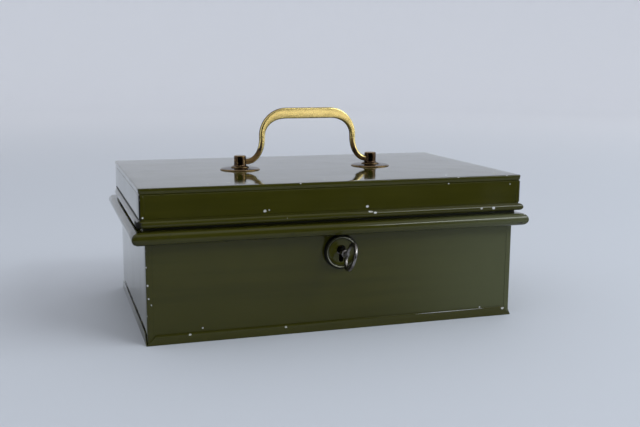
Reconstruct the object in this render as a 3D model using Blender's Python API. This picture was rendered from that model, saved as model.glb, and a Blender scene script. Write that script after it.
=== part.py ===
"""Locking sheet-steel box with a swing handle, a key lock and a lift-out tray. Metres, +Z up, front at -Y.

The origin is the middle of the base, on the surface that the box stands on.
"""

from math import asin, atan2, cos, pi, radians, sin, sqrt

import bmesh
import bpy
from mathutils import Matrix, Vector

# Sheet steel and the gap left between pieces that touch
SHEET = 0.0006
CLEARANCE = 0.0003
MITRE_GAP = CLEARANCE / sqrt(2)

# Body: outer faces of the walls, base pan, folded bead and neck
BODY_LENGTH = 0.2540
BODY_DEPTH = 0.1553
PAN_RIM = 0.0065
BEAD_BOTTOM = 0.0651
BEAD_HEIGHT = 0.0083
BEAD_REACH = 0.0087
BEAD_SIDES = 12
NECK_TOP = 0.0860
NECK_STEP = 0.0012
CORNER_LAP = 0.0028
LAP_TONGUE = 0.0060

# Lid: walls, top pan and wired lower bead
LID_FOOT = 0.0756
LID_TOP = 0.1002
LID_OVERHANG = 0.0034
LID_RIM = 0.0035
LID_JOGGLE = 0.0006
LID_LAP = 0.0020
LID_BEAD_HEIGHT = 0.0046
LID_BEAD_REACH = 0.0023

# Handle and its posts
POST_SPACING = 0.0993
POST_RADIUS = 0.0043
POST_HEIGHT = 0.0099
POST_FOOT_RADIUS = 0.0065
POST_FOOT_HEIGHT = 0.0020
STEM_RADIUS = 0.0020
STEM_BELOW_LID = 0.0046
ROSE_RADIUS = 0.0142
ROSE_HEIGHT = 0.0011
PIVOT_HEIGHT = 0.0055
HANDLE_WIDTH = 0.0726
HANDLE_RISE = 0.0400
HANDLE_SHIFT = 0.0009
HANDLE_TOP_BAR = 0.0076
HANDLE_LEG = 0.0040
HANDLE_THICKNESS = 0.0045
HANDLE_CORNER = 0.0200
HANDLE_FOOT_RISE = 0.0160
NUT_RADIUS = 0.0040
NUT_HEIGHT = 0.0022
WASHER_RADIUS = 0.0055
WASHER_HEIGHT = 0.0008

# Lock, escutcheon and key
ESCUTCHEON_RADIUS = 0.0114
ESCUTCHEON_DEPTH = 0.0039
ESCUTCHEON_WALL = 0.0008
KEYHOLE_RADIUS = 0.0033
KEYHOLE_SLOT = 0.0033
KEYHOLE_DROP = 0.0080
KEYHOLE_RISE = 0.0012
SHANK_RADIUS = 0.0021
KEY_TURN = radians(15)
BOW_OUT = 0.0170
BOW_LONG = 0.0075
BOW_WIDE = 0.0084
BOW_WIRE = 0.0011
BIT_RADIUS = 0.0064
BIT_THICKNESS = 0.0026
BIT_START = 0.0014
BIT_LENGTH = 0.0056
WARD_RADIUS = 0.0036
WARD_WALL = 0.0008
WARD_LENGTH = 0.0018
LOCK_PLATE = 0.0008
LOCK_WIDTH = 0.0380
LOCK_DEPTH = 0.0084
LOCK_DROP = 0.0082
LOCK_EAR = 0.0055
BOLT_THICKNESS = 0.0020
BOLT_BAR = 0.0042
STAPLE_THICKNESS = 0.0016
STAPLE_WIDTH = 0.0052
STAPLE_WEB = 0.0013

# Hinges
HINGE_SPREAD = 0.1560
HINGE_WIDTH = 0.0300
HINGE_LEAF = 0.0008
HINGE_PLATE_HEIGHT = 0.0170
KNUCKLE_RADIUS = 0.0022
PIN_RADIUS = 0.0010
RIVET_RADIUS = 0.0009

# Tray, its ledges, dividers and pulls
TRAY_FRONT_ROOM = 0.0160
TRAY_SIDE_ROOM = 0.0032
TRAY_BACK_ROOM = 0.0030
TRAY_HEIGHT = 0.0225
TRAY_TOP_DROP = 0.0020
TRAY_LONG_SHARE = 0.46
CROSS_DIVIDERS = 4
LEDGE_WIDTH = 0.0080
LEDGE_DROP = 0.0080
LEDGE_THICKNESS = 0.0010
PULL_WIRE = 0.0010
PULL_WIDTH = 0.0360
PULL_HEIGHT = 0.0090
PULL_DROP = 0.0036
BRACKET_PLATE = 0.0008
BRACKET_KNUCKLE = 0.0021

# Positions that follow from the sizes above
HALF_X = BODY_LENGTH / 2
HALF_Y = BODY_DEPTH / 2
WALL_FOOT = SHEET + CLEARANCE
FLANGE_TOP = BEAD_BOTTOM - 2 * CLEARANCE
BEAD_ROUND = BEAD_HEIGHT / 2
BEAD_TOP = BEAD_BOTTOM + BEAD_HEIGHT
LID_X = HALF_X + LID_OVERHANG
LID_Y = HALF_Y + LID_OVERHANG
LID_CEILING = LID_TOP - SHEET
JOGGLE_Z = LID_TOP - LID_RIM - CLEARANCE
HINGE_OUT = LID_OVERHANG + CLEARANCE + KNUCKLE_RADIUS
HINGE_Y = HALF_Y + HINGE_OUT
HINGE_Z = BEAD_TOP + CLEARANCE + KNUCKLE_RADIUS
PIVOT_Z = LID_TOP + PIVOT_HEIGHT
FRONT_INSIDE = -HALF_Y + SHEET
ESCUTCHEON_Z = BEAD_BOTTOM - CLEARANCE - ESCUTCHEON_RADIUS
KEYHOLE_Z = ESCUTCHEON_Z + KEYHOLE_RISE
KEY_Z = KEYHOLE_Z - (KEYHOLE_RADIUS - SHANK_RADIUS - 0.0004)
ESCUTCHEON_FACE = -HALF_Y - ESCUTCHEON_DEPTH
LOCK_FRONT = FRONT_INSIDE + CLEARANCE
CASE_FRONT = LOCK_FRONT + LOCK_PLATE + CLEARANCE
CASE_BACK = CASE_FRONT + LOCK_DEPTH
STRIP_BOTTOM = KEY_Z + BIT_RADIUS + 0.0007
STRIP_TOP = STRIP_BOTTOM + 0.0017
STAPLE_BOTTOM = STRIP_TOP + CLEARANCE
EYE_BOTTOM = STAPLE_BOTTOM + STAPLE_WEB
BAR_BOTTOM = EYE_BOTTOM + 0.0004
BAR_TOP = BAR_BOTTOM + BOLT_BAR
EYE_TOP = BAR_TOP + 0.0004
LOCK_TOP = EYE_TOP + LOCK_PLATE
LOCK_BOTTOM = KEY_Z - LOCK_DROP
BOLT_Y = CASE_FRONT + 0.0024
TRAY_X = HALF_X - SHEET - TRAY_SIDE_ROOM
TRAY_FRONT = FRONT_INSIDE + TRAY_FRONT_ROOM
TRAY_BACK = HALF_Y - SHEET - TRAY_BACK_ROOM
TRAY_TOP = NECK_TOP - TRAY_TOP_DROP
TRAY_BOTTOM = TRAY_TOP - TRAY_HEIGHT
LEDGE_TOP = TRAY_BOTTOM - CLEARANCE
PULL_Z = TRAY_TOP - PULL_DROP
PULL_X = TRAY_X - SHEET - CLEARANCE - BRACKET_PLATE - CLEARANCE - PULL_WIRE
TRAY_MID_Y = (TRAY_FRONT + TRAY_BACK) / 2


def clear_scene():
    for obj in list(bpy.data.objects):
        bpy.data.objects.remove(obj)


def make_material(name, colour, roughness, metallic):
    finish = bpy.data.materials.new(name)
    finish.use_nodes = True
    shader = finish.node_tree.nodes["Principled BSDF"]
    shader.inputs["Base Color"].default_value = (*colour, 1)
    shader.inputs["Roughness"].default_value = roughness
    shader.inputs["Metallic"].default_value = metallic
    return finish


def add(name, mesh, finish=None, origin=(0, 0, 0), parent=None):
    """Adds a closed mesh, given in world places, as an object whose origin is at the given point."""
    bmesh.ops.recalc_face_normals(mesh, faces=mesh.faces)
    bmesh.ops.translate(mesh, verts=mesh.verts, vec=-Vector(origin))
    data = bpy.data.meshes.new(name)
    mesh.to_mesh(data)
    mesh.free()
    data.shade_smooth()
    data.set_sharp_from_angle(angle=radians(35))
    if finish:
        data.materials.append(finish)
    obj = bpy.data.objects.new(name, data)
    obj.location = Vector(origin)
    if parent:
        obj.parent = parent
        obj.location -= parent.location
    bpy.context.scene.collection.objects.link(obj)
    return obj


def add_axis(name, place, parent=None):
    """An empty on a joint's axis, which carries the pieces that move about it."""
    empty = bpy.data.objects.new(name, None)
    empty.location = Vector(place)
    if parent:
        empty.parent = parent
    bpy.context.scene.collection.objects.link(empty)
    return empty


def helper(name, mesh):
    """A shape that only cuts or joins another."""
    obj = add(name, mesh)
    obj.hide_render = True
    obj.display_type = "WIRE"
    return obj


def combine(target, operation, others):
    for other in others:
        step = target.modifiers.new(other.name, "BOOLEAN")
        step.operation = operation
        step.object = other
    return target


def loft(loops, closed=False):
    """A skin through loops that all have the same number of points."""
    mesh = bmesh.new()
    rings = [[mesh.verts.new(point) for point in loop] for loop in loops]
    pairs = list(zip(rings, rings[1:]))
    if closed:
        pairs.append((rings[-1], rings[0]))
    for low, high in pairs:
        for i in range(len(low)):
            j = (i + 1) % len(low)
            mesh.faces.new((low[i], low[j], high[j], high[i]))
    if not closed:
        mesh.faces.new(rings[0])
        mesh.faces.new(rings[-1])
    return mesh


def prism(outline, axis, low, high):
    """An outline drawn out along an axis. Its points are (y, z) for X, (x, z) for Y and (x, y) for Z."""
    place = {
        "X": lambda a, b, at: (at, a, b),
        "Y": lambda a, b, at: (a, at, b),
        "Z": lambda a, b, at: (a, b, at),
    }[axis]
    return loft([[place(a, b, at) for a, b in outline] for at in (low, high)])


def block(low, high):
    outline = [(low[0], low[1]), (high[0], low[1]), (high[0], high[1]), (low[0], high[1])]
    return prism(outline, "Z", low[2], high[2])


def turned(profile, segments, place):
    """A solid of revolution from (radius, height) points. With its ends off the axis it is a ring."""
    mesh = bmesh.new()
    columns = []
    on_axis = {}
    for i in range(segments):
        turn = 2 * pi * i / segments
        column = []
        for j, (radius, height) in enumerate(profile):
            if radius == 0 and j in on_axis:
                column.append(on_axis[j])
                continue
            point = place @ Vector((radius * cos(turn), radius * sin(turn), height))
            column.append(mesh.verts.new(point))
            if radius == 0:
                on_axis[j] = column[-1]
        columns.append(column)
    steps = len(profile) if profile[0][0] > 0 else len(profile) - 1
    for i in range(segments):
        this, after = columns[i], columns[(i + 1) % segments]
        for j in range(steps):
            k = (j + 1) % len(profile)
            corners = []
            for corner in (this[j], after[j], after[k], this[k]):
                if corner not in corners:
                    corners.append(corner)
            if len(corners) > 2:
                mesh.faces.new(corners)
    return mesh


def wire(points, radius, sides, across, closed=False):
    """A round wire along a flat path; across is the normal of the path's plane."""
    points = [Vector(point) for point in points]
    across = Vector(across)
    loops = []
    for i, point in enumerate(points):
        before = points[i - 1] if closed or i else point
        after = points[(i + 1) % len(points)] if closed or i + 1 < len(points) else point
        side = (after - before).normalized().cross(across)
        turns = [2 * pi * k / sides for k in range(sides)]
        loops.append([point + radius * (cos(t) * side + sin(t) * across) for t in turns])
    return loft(loops, closed=closed)


def facing(direction, place):
    """The turn and shift that takes +Z to the given direction and the origin to the given place."""
    turn = Vector((0, 0, 1)).rotation_difference(Vector(direction)).to_matrix().to_4x4()
    return Matrix.Translation(Vector(place)) @ turn


def arc(centre, radius, start, end, steps):
    """Points on an arc, with both ends. Angles in degrees."""
    turns = [radians(start + (end - start) * i / steps) for i in range(steps + 1)]
    return [(centre[0] + radius * cos(t), centre[1] + radius * sin(t)) for t in turns]


# Sheet-metal walls. A wall's outline is (outward, height); outward is counted from the body's outer face.

SIDES = {
    "front": lambda along, across, z: (along, -across, z),
    "back": lambda along, across, z: (along, across, z),
    "left": lambda along, across, z: (-across, along, z),
    "right": lambda along, across, z: (across, along, z),
}


def mitred_wall(side, outline):
    """A wall whose ends meet their neighbours at 45 degrees, all the way out."""
    length, reach = (HALF_X, HALF_Y) if side in ("front", "back") else (HALF_Y, HALF_X)
    place = SIDES[side]
    ends = []
    for sign in (-1, 1):
        ends.append([place(sign * (length + out - MITRE_GAP), reach + out, z) for out, z in outline])
    return loft(ends)


def body_outline():
    """Wall, hollow folded bead and neck, one sheet thick."""
    flat = BEAD_REACH - BEAD_ROUND
    centre = (flat, BEAD_BOTTOM + BEAD_ROUND)
    outside = [(0, WALL_FOOT), (0, BEAD_BOTTOM)]
    outside += arc(centre, BEAD_ROUND, -90, 90, BEAD_SIDES)
    outside += [(NECK_STEP, BEAD_TOP), (NECK_STEP, NECK_TOP)]
    inside = [(-SHEET, WALL_FOOT), (-SHEET, BEAD_BOTTOM + SHEET)]
    inside += arc(centre, BEAD_ROUND - SHEET, -90, 90, BEAD_SIDES)
    inside += [(NECK_STEP - SHEET, BEAD_TOP - SHEET), (NECK_STEP - SHEET, NECK_TOP)]
    return outside + inside[::-1]


def lid_outline(beaded):
    """Lid wall, stepped in under the top's rim, with the half-round wired bead along its lower edge."""
    inner = LID_OVERHANG - SHEET
    top = LID_CEILING - CLEARANCE
    step_in = LID_OVERHANG - LID_JOGGLE
    outline = [(step_in - SHEET, top), (step_in - SHEET, JOGGLE_Z), (inner, JOGGLE_Z - LID_JOGGLE)]
    outline.append((inner, LID_FOOT))
    if beaded:
        bead = LID_BEAD_HEIGHT / 2
        flat = LID_OVERHANG + LID_BEAD_REACH - bead
        outline += arc((flat, LID_FOOT + bead), bead, -90, 90, 8)
        outline.append((LID_OVERHANG, LID_FOOT + LID_BEAD_HEIGHT))
    else:
        outline.append((LID_OVERHANG, LID_FOOT))
    return outline + [(LID_OVERHANG, JOGGLE_Z - LID_JOGGLE), (step_in, JOGGLE_Z), (step_in, top)]


def corner_flange(name, x_face, y_face, x_sign, y_sign, lap, bottom, top):
    """The strip of an end wall that laps round a corner, with a tongue that runs on behind the long wall."""
    inset = 2 * SHEET + CLEARANCE
    outline = [(0, 0), (lap, 0), (lap, inset - SHEET), (lap + LAP_TONGUE, inset - SHEET)]
    outline += [(lap + LAP_TONGUE, inset), (lap - SHEET, inset), (lap - SHEET, SHEET)]
    outline += [(SHEET, SHEET), (SHEET, 2 * lap), (0, 2 * lap)]
    points = [(x_sign * (x_face - a), y_sign * (y_face - b)) for a, b in outline]
    return helper(name, prism(points, "Z", bottom, top))


def lap_cutters(name, x_face, y_face, y_sign, lap, bottom, top):
    """Blocks that shorten a long wall where the end walls lap round onto it."""
    cutters = []
    for x_sign, label in ((-1, "left"), (1, "right")):
        xs = sorted((x_sign * (x_face - lap - CLEARANCE), x_sign * (x_face + lap)))
        ys = sorted((y_sign * (y_face - 3 * SHEET), y_sign * (y_face + SHEET)))
        mesh = block((xs[0], ys[0], bottom), (xs[1], ys[1], top))
        cutters.append(helper(f"{name}_{label}_lap_cut", mesh))
    return cutters


def keyhole_outline(grow):
    """Round hole with a slot straight down from it, as (x, z)."""
    radius = KEYHOLE_RADIUS + grow
    half = KEYHOLE_SLOT / 2 + grow
    shoulder = -90 + asin(half / radius) * 180 / pi
    outline = arc((0, KEYHOLE_Z), radius, shoulder, 180 - shoulder, 18)
    low = KEYHOLE_Z - KEYHOLE_DROP + KEYHOLE_SLOT / 2
    return outline + arc((0, low), half, 180, 360, 6)


def make_body(enamel):
    for side, sign in (("front", -1), ("back", 1)):
        wall = add(f"body_{side}", mitred_wall(side, body_outline()), enamel)
        top = FLANGE_TOP + CLEARANCE
        cutters = lap_cutters(wall.name, HALF_X, HALF_Y, sign, CORNER_LAP, 0, top)
        if side == "front":
            hole = prism(keyhole_outline(0.0006), "Y", -HALF_Y - SHEET, FRONT_INSIDE + SHEET)
            cutters.append(helper("body_keyhole_cut", hole))
        combine(wall, "DIFFERENCE", cutters)
    for side, sign in (("left_end", -1), ("right_end", 1)):
        wall = add(f"body_{side}", mitred_wall(side.split("_")[0], body_outline()), enamel)
        flanges = []
        for y_sign, label in ((-1, "front"), (1, "back")):
            name = f"{wall.name}_{label}_flange"
            flanges.append(
                corner_flange(name, HALF_X, HALF_Y, sign, y_sign, CORNER_LAP, WALL_FOOT, FLANGE_TOP)
            )
        combine(wall, "UNION", flanges)


def make_base_pan(enamel):
    """Floor with four turned-up rims whose ends are cut at 45 degrees."""
    rim = CLEARANCE + SHEET
    half = (HALF_X + rim, HALF_Y + rim)
    mesh = bmesh.new()
    corners = [(-1, -1), (1, -1), (1, 1), (-1, 1)]

    def at(corner, inset_x, inset_y, z):
        return mesh.verts.new((corner[0] * (half[0] - inset_x), corner[1] * (half[1] - inset_y), z))

    under = [at(c, 0, 0, 0) for c in corners]
    floor = [at(c, SHEET, SHEET, SHEET) for c in corners]
    along_x = [[at(c, PAN_RIM, inset, PAN_RIM) for inset in (0, SHEET)] for c in corners]
    along_y = [[at(c, inset, PAN_RIM, PAN_RIM) for inset in (0, SHEET)] for c in corners]
    mesh.faces.new(under)
    mesh.faces.new(floor)
    for i in range(4):
        j = (i + 1) % 4
        rims = along_x if i % 2 == 0 else along_y
        (out_i, in_i), (out_j, in_j) = rims[i], rims[j]
        mesh.faces.new((under[i], under[j], out_j, out_i))
        mesh.faces.new((out_i, out_j, in_j, in_i))
        mesh.faces.new((in_i, in_j, floor[j], floor[i]))
        mesh.faces.new((under[i], out_i, in_i, floor[i]))
        mesh.faces.new((under[j], out_j, in_j, floor[j]))
    add("base_pan", mesh, enamel)


def make_ledges(enamel):
    half = (TRAY_BACK - TRAY_FRONT) / 2 - 0.006
    wall = HALF_X - SHEET - CLEARANCE
    for sign, label in ((-1, "left"), (1, "right")):
        outline = [
            (wall, LEDGE_TOP),
            (wall - LEDGE_WIDTH, LEDGE_TOP),
            (wall - LEDGE_WIDTH, LEDGE_TOP - LEDGE_THICKNESS),
            (wall - LEDGE_THICKNESS, LEDGE_TOP - LEDGE_THICKNESS),
            (wall - LEDGE_THICKNESS, LEDGE_TOP - LEDGE_DROP),
            (wall, LEDGE_TOP - LEDGE_DROP),
        ]
        points = [(sign * x, z) for x, z in outline]
        add(f"tray_ledge_{label}", prism(points, "Y", TRAY_MID_Y - half, TRAY_MID_Y + half), enamel)


def hinge_centres():
    return (("left", -HINGE_SPREAD / 2), ("right", HINGE_SPREAD / 2))


def rivet_places(centre):
    return (("outer", centre - HINGE_WIDTH * 0.3), ("inner", centre + HINGE_WIDTH * 0.3))


def rivet_height():
    return HINGE_Z + HINGE_PLATE_HEIGHT * 0.68


def make_lid(enamel, parent):
    bead_top = LID_FOOT + LID_BEAD_HEIGHT
    top = JOGGLE_Z - LID_JOGGLE - CLEARANCE
    for side, sign in (("front", -1), ("back", 1)):
        wall = add(f"lid_{side}", mitred_wall(side, lid_outline(side == "front")), enamel, parent=parent)
        low = bead_top + CLEARANCE if side == "front" else LID_FOOT - SHEET
        cutters = lap_cutters(wall.name, LID_X, LID_Y, sign, LID_LAP, low, top + CLEARANCE)
        if side == "back":
            for label, centre in hinge_centres():
                for end, x in rivet_places(centre):
                    place = facing((0, 1, 0), (x, LID_Y - 2 * SHEET, rivet_height()))
                    hole = turned(round_bar(RIVET_RADIUS + CLEARANCE, 0, 4 * SHEET), 12, place)
                    cutters.append(helper(f"lid_hole_{label}_{end}", hole))
        combine(wall, "DIFFERENCE", cutters)
    for side, sign in (("left_end", -1), ("right_end", 1)):
        mesh = mitred_wall(side.split("_")[0], lid_outline(True))
        wall = add(f"lid_{side}", mesh, enamel, parent=parent)
        flanges = []
        for y_sign, label in ((-1, "front"), (1, "back")):
            name = f"{wall.name}_{label}_flange"
            low = bead_top + 2 * CLEARANCE
            flanges.append(corner_flange(name, LID_X, LID_Y, sign, y_sign, LID_LAP, low, top))
        combine(wall, "UNION", flanges)


def make_lid_top(enamel, parent):
    """Shallow pan that closes the lid, with holes for the handle posts."""
    inner = CLEARANCE - LID_JOGGLE
    outer = inner + SHEET
    rim = LID_TOP - LID_RIM
    loops = []
    for out, z in ((inner, LID_CEILING), (inner, rim), (outer, rim), (outer, LID_TOP)):
        x, y = LID_X + out, LID_Y + out
        loops.append([(-x, -y, z), (x, -y, z), (x, y, z), (-x, y, z)])
    lid = add("lid_top", loft(loops), enamel, parent=parent)
    cutters = []
    for label, x in post_places():
        place = facing((0, 0, 1), (x, 0, LID_CEILING - SHEET))
        hole = turned(round_bar(STEM_RADIUS + CLEARANCE, 0, 3 * SHEET), 16, place)
        cutters.append(helper(f"lid_post_hole_{label}", hole))
    combine(lid, "DIFFERENCE", cutters)


def round_bar(radius, low, high):
    return [(0, low), (radius, low), (radius, high), (0, high)]


def post_places():
    return (("left", -POST_SPACING / 2), ("right", POST_SPACING / 2))


def make_posts(bronze, steel, parent):
    rose_low = LID_TOP + CLEARANCE
    rose_top = rose_low + ROSE_HEIGHT
    foot_low = rose_top + CLEARANCE
    top = LID_TOP + POST_HEIGHT
    bevel = 0.0006
    for label, x in post_places():
        up = facing((0, 0, 1), (x, 0, 0))
        stem_end = LID_CEILING - STEM_BELOW_LID
        profile = [(0, stem_end), (STEM_RADIUS, stem_end), (STEM_RADIUS, foot_low)]
        profile += [(POST_FOOT_RADIUS, foot_low), (POST_FOOT_RADIUS, foot_low + POST_FOOT_HEIGHT / 4)]
        profile += [(POST_RADIUS, foot_low + POST_FOOT_HEIGHT / 2), (POST_RADIUS, top - bevel)]
        profile += [(POST_RADIUS - bevel, top), (0, top + bevel / 4)]
        post = add(f"post_{label}", turned(profile, 24, up), bronze, (x, 0, LID_TOP), parent)
        inward = -1 if x > 0 else 1
        mouth = (x + inward * (POST_RADIUS + bevel), 0, PIVOT_Z)
        depth = POST_RADIUS + bevel + HANDLE_SHIFT + CLEARANCE
        bore = turned(round_bar(HANDLE_LEG / 2 + CLEARANCE, 0, depth), 16, facing((-inward, 0, 0), mouth))
        combine(post, "DIFFERENCE", [helper(f"post_{label}_bore", bore)])

        hole = STEM_RADIUS + CLEARANCE
        rose = [(hole, rose_low), (ROSE_RADIUS, rose_low), (ROSE_RADIUS, rose_low + 0.0003)]
        rose += [(ROSE_RADIUS - 0.0012, rose_low + ROSE_HEIGHT * 0.6)]
        rose += [(POST_FOOT_RADIUS + 0.0012, rose_top), (hole, rose_top)]
        add(f"rose_{label}", turned(rose, 32, up), bronze, (x, 0, LID_TOP), parent)

        high = LID_CEILING - CLEARANCE
        washer = [(hole, high - WASHER_HEIGHT), (WASHER_RADIUS, high - WASHER_HEIGHT)]
        washer += [(WASHER_RADIUS, high), (hole, high)]
        add(f"post_washer_{label}", turned(washer, 20, up), steel, (x, 0, high), parent)
        nut_top = high - WASHER_HEIGHT - CLEARANCE
        nut = [(hole, nut_top - NUT_HEIGHT), (NUT_RADIUS, nut_top - NUT_HEIGHT)]
        nut += [(NUT_RADIUS, nut_top), (hole, nut_top)]
        add(f"post_nut_{label}", turned(nut, 6, up), steel, (x, 0, nut_top), parent)


def handle_stations():
    """Half of the handle as (x, z, direction, width), from the middle of the top bar to the end in a post."""
    leg_x = HANDLE_WIDTH / 2 - HANDLE_LEG / 2
    centre = (HANDLE_WIDTH / 2 - HANDLE_CORNER, PIVOT_Z + HANDLE_RISE - HANDLE_CORNER - HANDLE_LEG / 2)
    mouth = POST_SPACING / 2 - POST_RADIUS
    foot = mouth - leg_x
    stations = []
    steps = 9
    for i in range(steps + 1):
        share = i / steps
        turn = radians(90 - 90 * share)
        ease = share * share * (3 - 2 * share)
        width = HANDLE_TOP_BAR + (HANDLE_LEG - HANDLE_TOP_BAR) * ease
        reach = HANDLE_CORNER - width / 2
        stations.append((centre[0] + reach * cos(turn), centre[1] + reach * sin(turn), turn - pi / 2, width))
    steps = 7
    for i in range(steps + 1):
        turn = radians(180 + 90 * i / steps)
        x = mouth + foot * cos(turn)
        z = PIVOT_Z + HANDLE_FOOT_RISE * (1 + sin(turn))
        direction = atan2(HANDLE_FOOT_RISE * cos(turn), -foot * sin(turn))
        stations.append((x, z, direction, HANDLE_LEG))
    stations.append((POST_SPACING / 2, PIVOT_Z, 0, HANDLE_LEG))
    return stations


def handle_section(station, fullness):
    """Eight-sided section, round at the ends and chamfered flat along the bar."""
    x, z, direction, width = station
    thick = HANDLE_LEG + (HANDLE_THICKNESS - HANDLE_LEG) * fullness
    chamfer = (1 - fullness) * (HANDLE_LEG / 2) * (2 - sqrt(2)) + fullness * 0.0009
    a, b = width / 2, thick / 2
    across = Vector((-sin(direction), 0, cos(direction)))
    corners = [(a - chamfer, b), (a, b - chamfer), (a, chamfer - b), (a - chamfer, -b)]
    corners += [(chamfer - a, -b), (-a, chamfer - b), (-a, b - chamfer), (chamfer - a, b)]
    return [Vector((x, 0, z)) + u * across + Vector((0, v, 0)) for u, v in corners]


def make_handle(brass, parent):
    half = handle_stations()
    loops = []
    for station in half:
        fullness = max(0.0, min(1.0, (station[1] - PIVOT_Z - HANDLE_LEG) / (HANDLE_RISE / 2)))
        loops.append(handle_section(station, fullness))
    mirrored = [[Vector((-p.x, p.y, p.z)) for p in loop] for loop in loops]
    mesh = loft(mirrored[::-1] + loops)
    bmesh.ops.translate(mesh, verts=mesh.verts, vec=(HANDLE_SHIFT, 0, 0))
    add("handle", mesh, brass, (0, 0, PIVOT_Z), parent)


def make_escutcheon(enamel):
    """Round cup on the front, with a dished face that holds the keyhole."""
    wall = ESCUTCHEON_WALL
    depth = ESCUTCHEON_DEPTH
    radius = ESCUTCHEON_RADIUS
    face = depth - 0.0013
    profile = [(0, face - 0.0003), (radius - 0.0022, face), (radius - 0.0015, depth - 0.0002)]
    profile += [(radius - 0.0011, depth), (radius - 0.0004, depth - 0.0002), (radius, depth - 0.0009)]
    profile += [(radius, CLEARANCE), (radius - wall, CLEARANCE), (radius - wall, depth - 0.0024)]
    profile += [(radius - 0.0026, face - wall), (0, face - 0.0003 - wall)]
    place = facing((0, -1, 0), (0, -HALF_Y, ESCUTCHEON_Z))
    cup = add("escutcheon", turned(profile, 36, place), enamel, (0, -HALF_Y, ESCUTCHEON_Z))
    hole = prism(keyhole_outline(0), "Y", ESCUTCHEON_FACE - SHEET, -HALF_Y - CLEARANCE)
    combine(cup, "DIFFERENCE", [helper("escutcheon_keyhole_cut", hole)])


def turn_about_key(points):
    """Turns points about the key's axis by the angle that the key stands at."""
    spin = Matrix.Rotation(KEY_TURN, 4, "Y")
    axis = Vector((0, 0, KEY_Z))
    return [spin @ (Vector(point) - axis) + axis for point in points]


def make_key(steel, parent):
    bow_centre = ESCUTCHEON_FACE - BOW_OUT
    bit_front = CASE_FRONT + BIT_START
    bit_back = bit_front + BIT_LENGTH
    shank_front = bow_centre + BOW_LONG - BOW_WIRE / 2
    collar = shank_front + 0.0030
    profile = [(0, 0), (SHANK_RADIUS * 0.75, 0), (SHANK_RADIUS * 0.9, collar - shank_front - 0.0008)]
    profile += [(SHANK_RADIUS * 1.3, collar - shank_front)]
    profile += [(SHANK_RADIUS * 1.3, collar - shank_front + 0.0009)]
    profile += [(SHANK_RADIUS, collar - shank_front + 0.0014)]
    end = bit_back + 0.0003 - shank_front
    profile += [(SHANK_RADIUS, end - 0.0005), (SHANK_RADIUS - 0.0005, end), (0, end)]
    place = facing((0, 1, 0), (0, shank_front, KEY_Z))
    key = add("key", turned(profile, 20, place), steel, (0, 0, KEY_Z), parent)

    ring = []
    for i in range(28):
        turn = 2 * pi * i / 28
        ring.append((0, bow_centre + BOW_LONG * cos(turn), KEY_Z + BOW_WIDE * sin(turn)))
    across = turn_about_key([Vector((1, 0, KEY_Z))])[0] - Vector((0, 0, KEY_Z))
    bow = helper("key_bow", wire(turn_about_key(ring), BOW_WIRE, 8, across, closed=True))

    half = BIT_THICKNESS / 2
    ward = (WARD_RADIUS - WARD_WALL / 2 - 0.0004, WARD_RADIUS + WARD_WALL / 2 + 0.0004)
    cut = bit_back - WARD_LENGTH
    outline = [(bit_front, -SHANK_RADIUS / 2), (bit_front, -BIT_RADIUS), (bit_back, -BIT_RADIUS)]
    outline += [(bit_back, -ward[1]), (cut, -ward[1]), (cut, -ward[0]), (bit_back, -ward[0])]
    outline += [(bit_back, -SHANK_RADIUS / 2)]
    ends = [turn_about_key([(x, y, KEY_Z + z) for y, z in outline]) for x in (-half, half)]
    combine(key, "UNION", [bow, helper("key_bit", loft(ends))])


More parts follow.
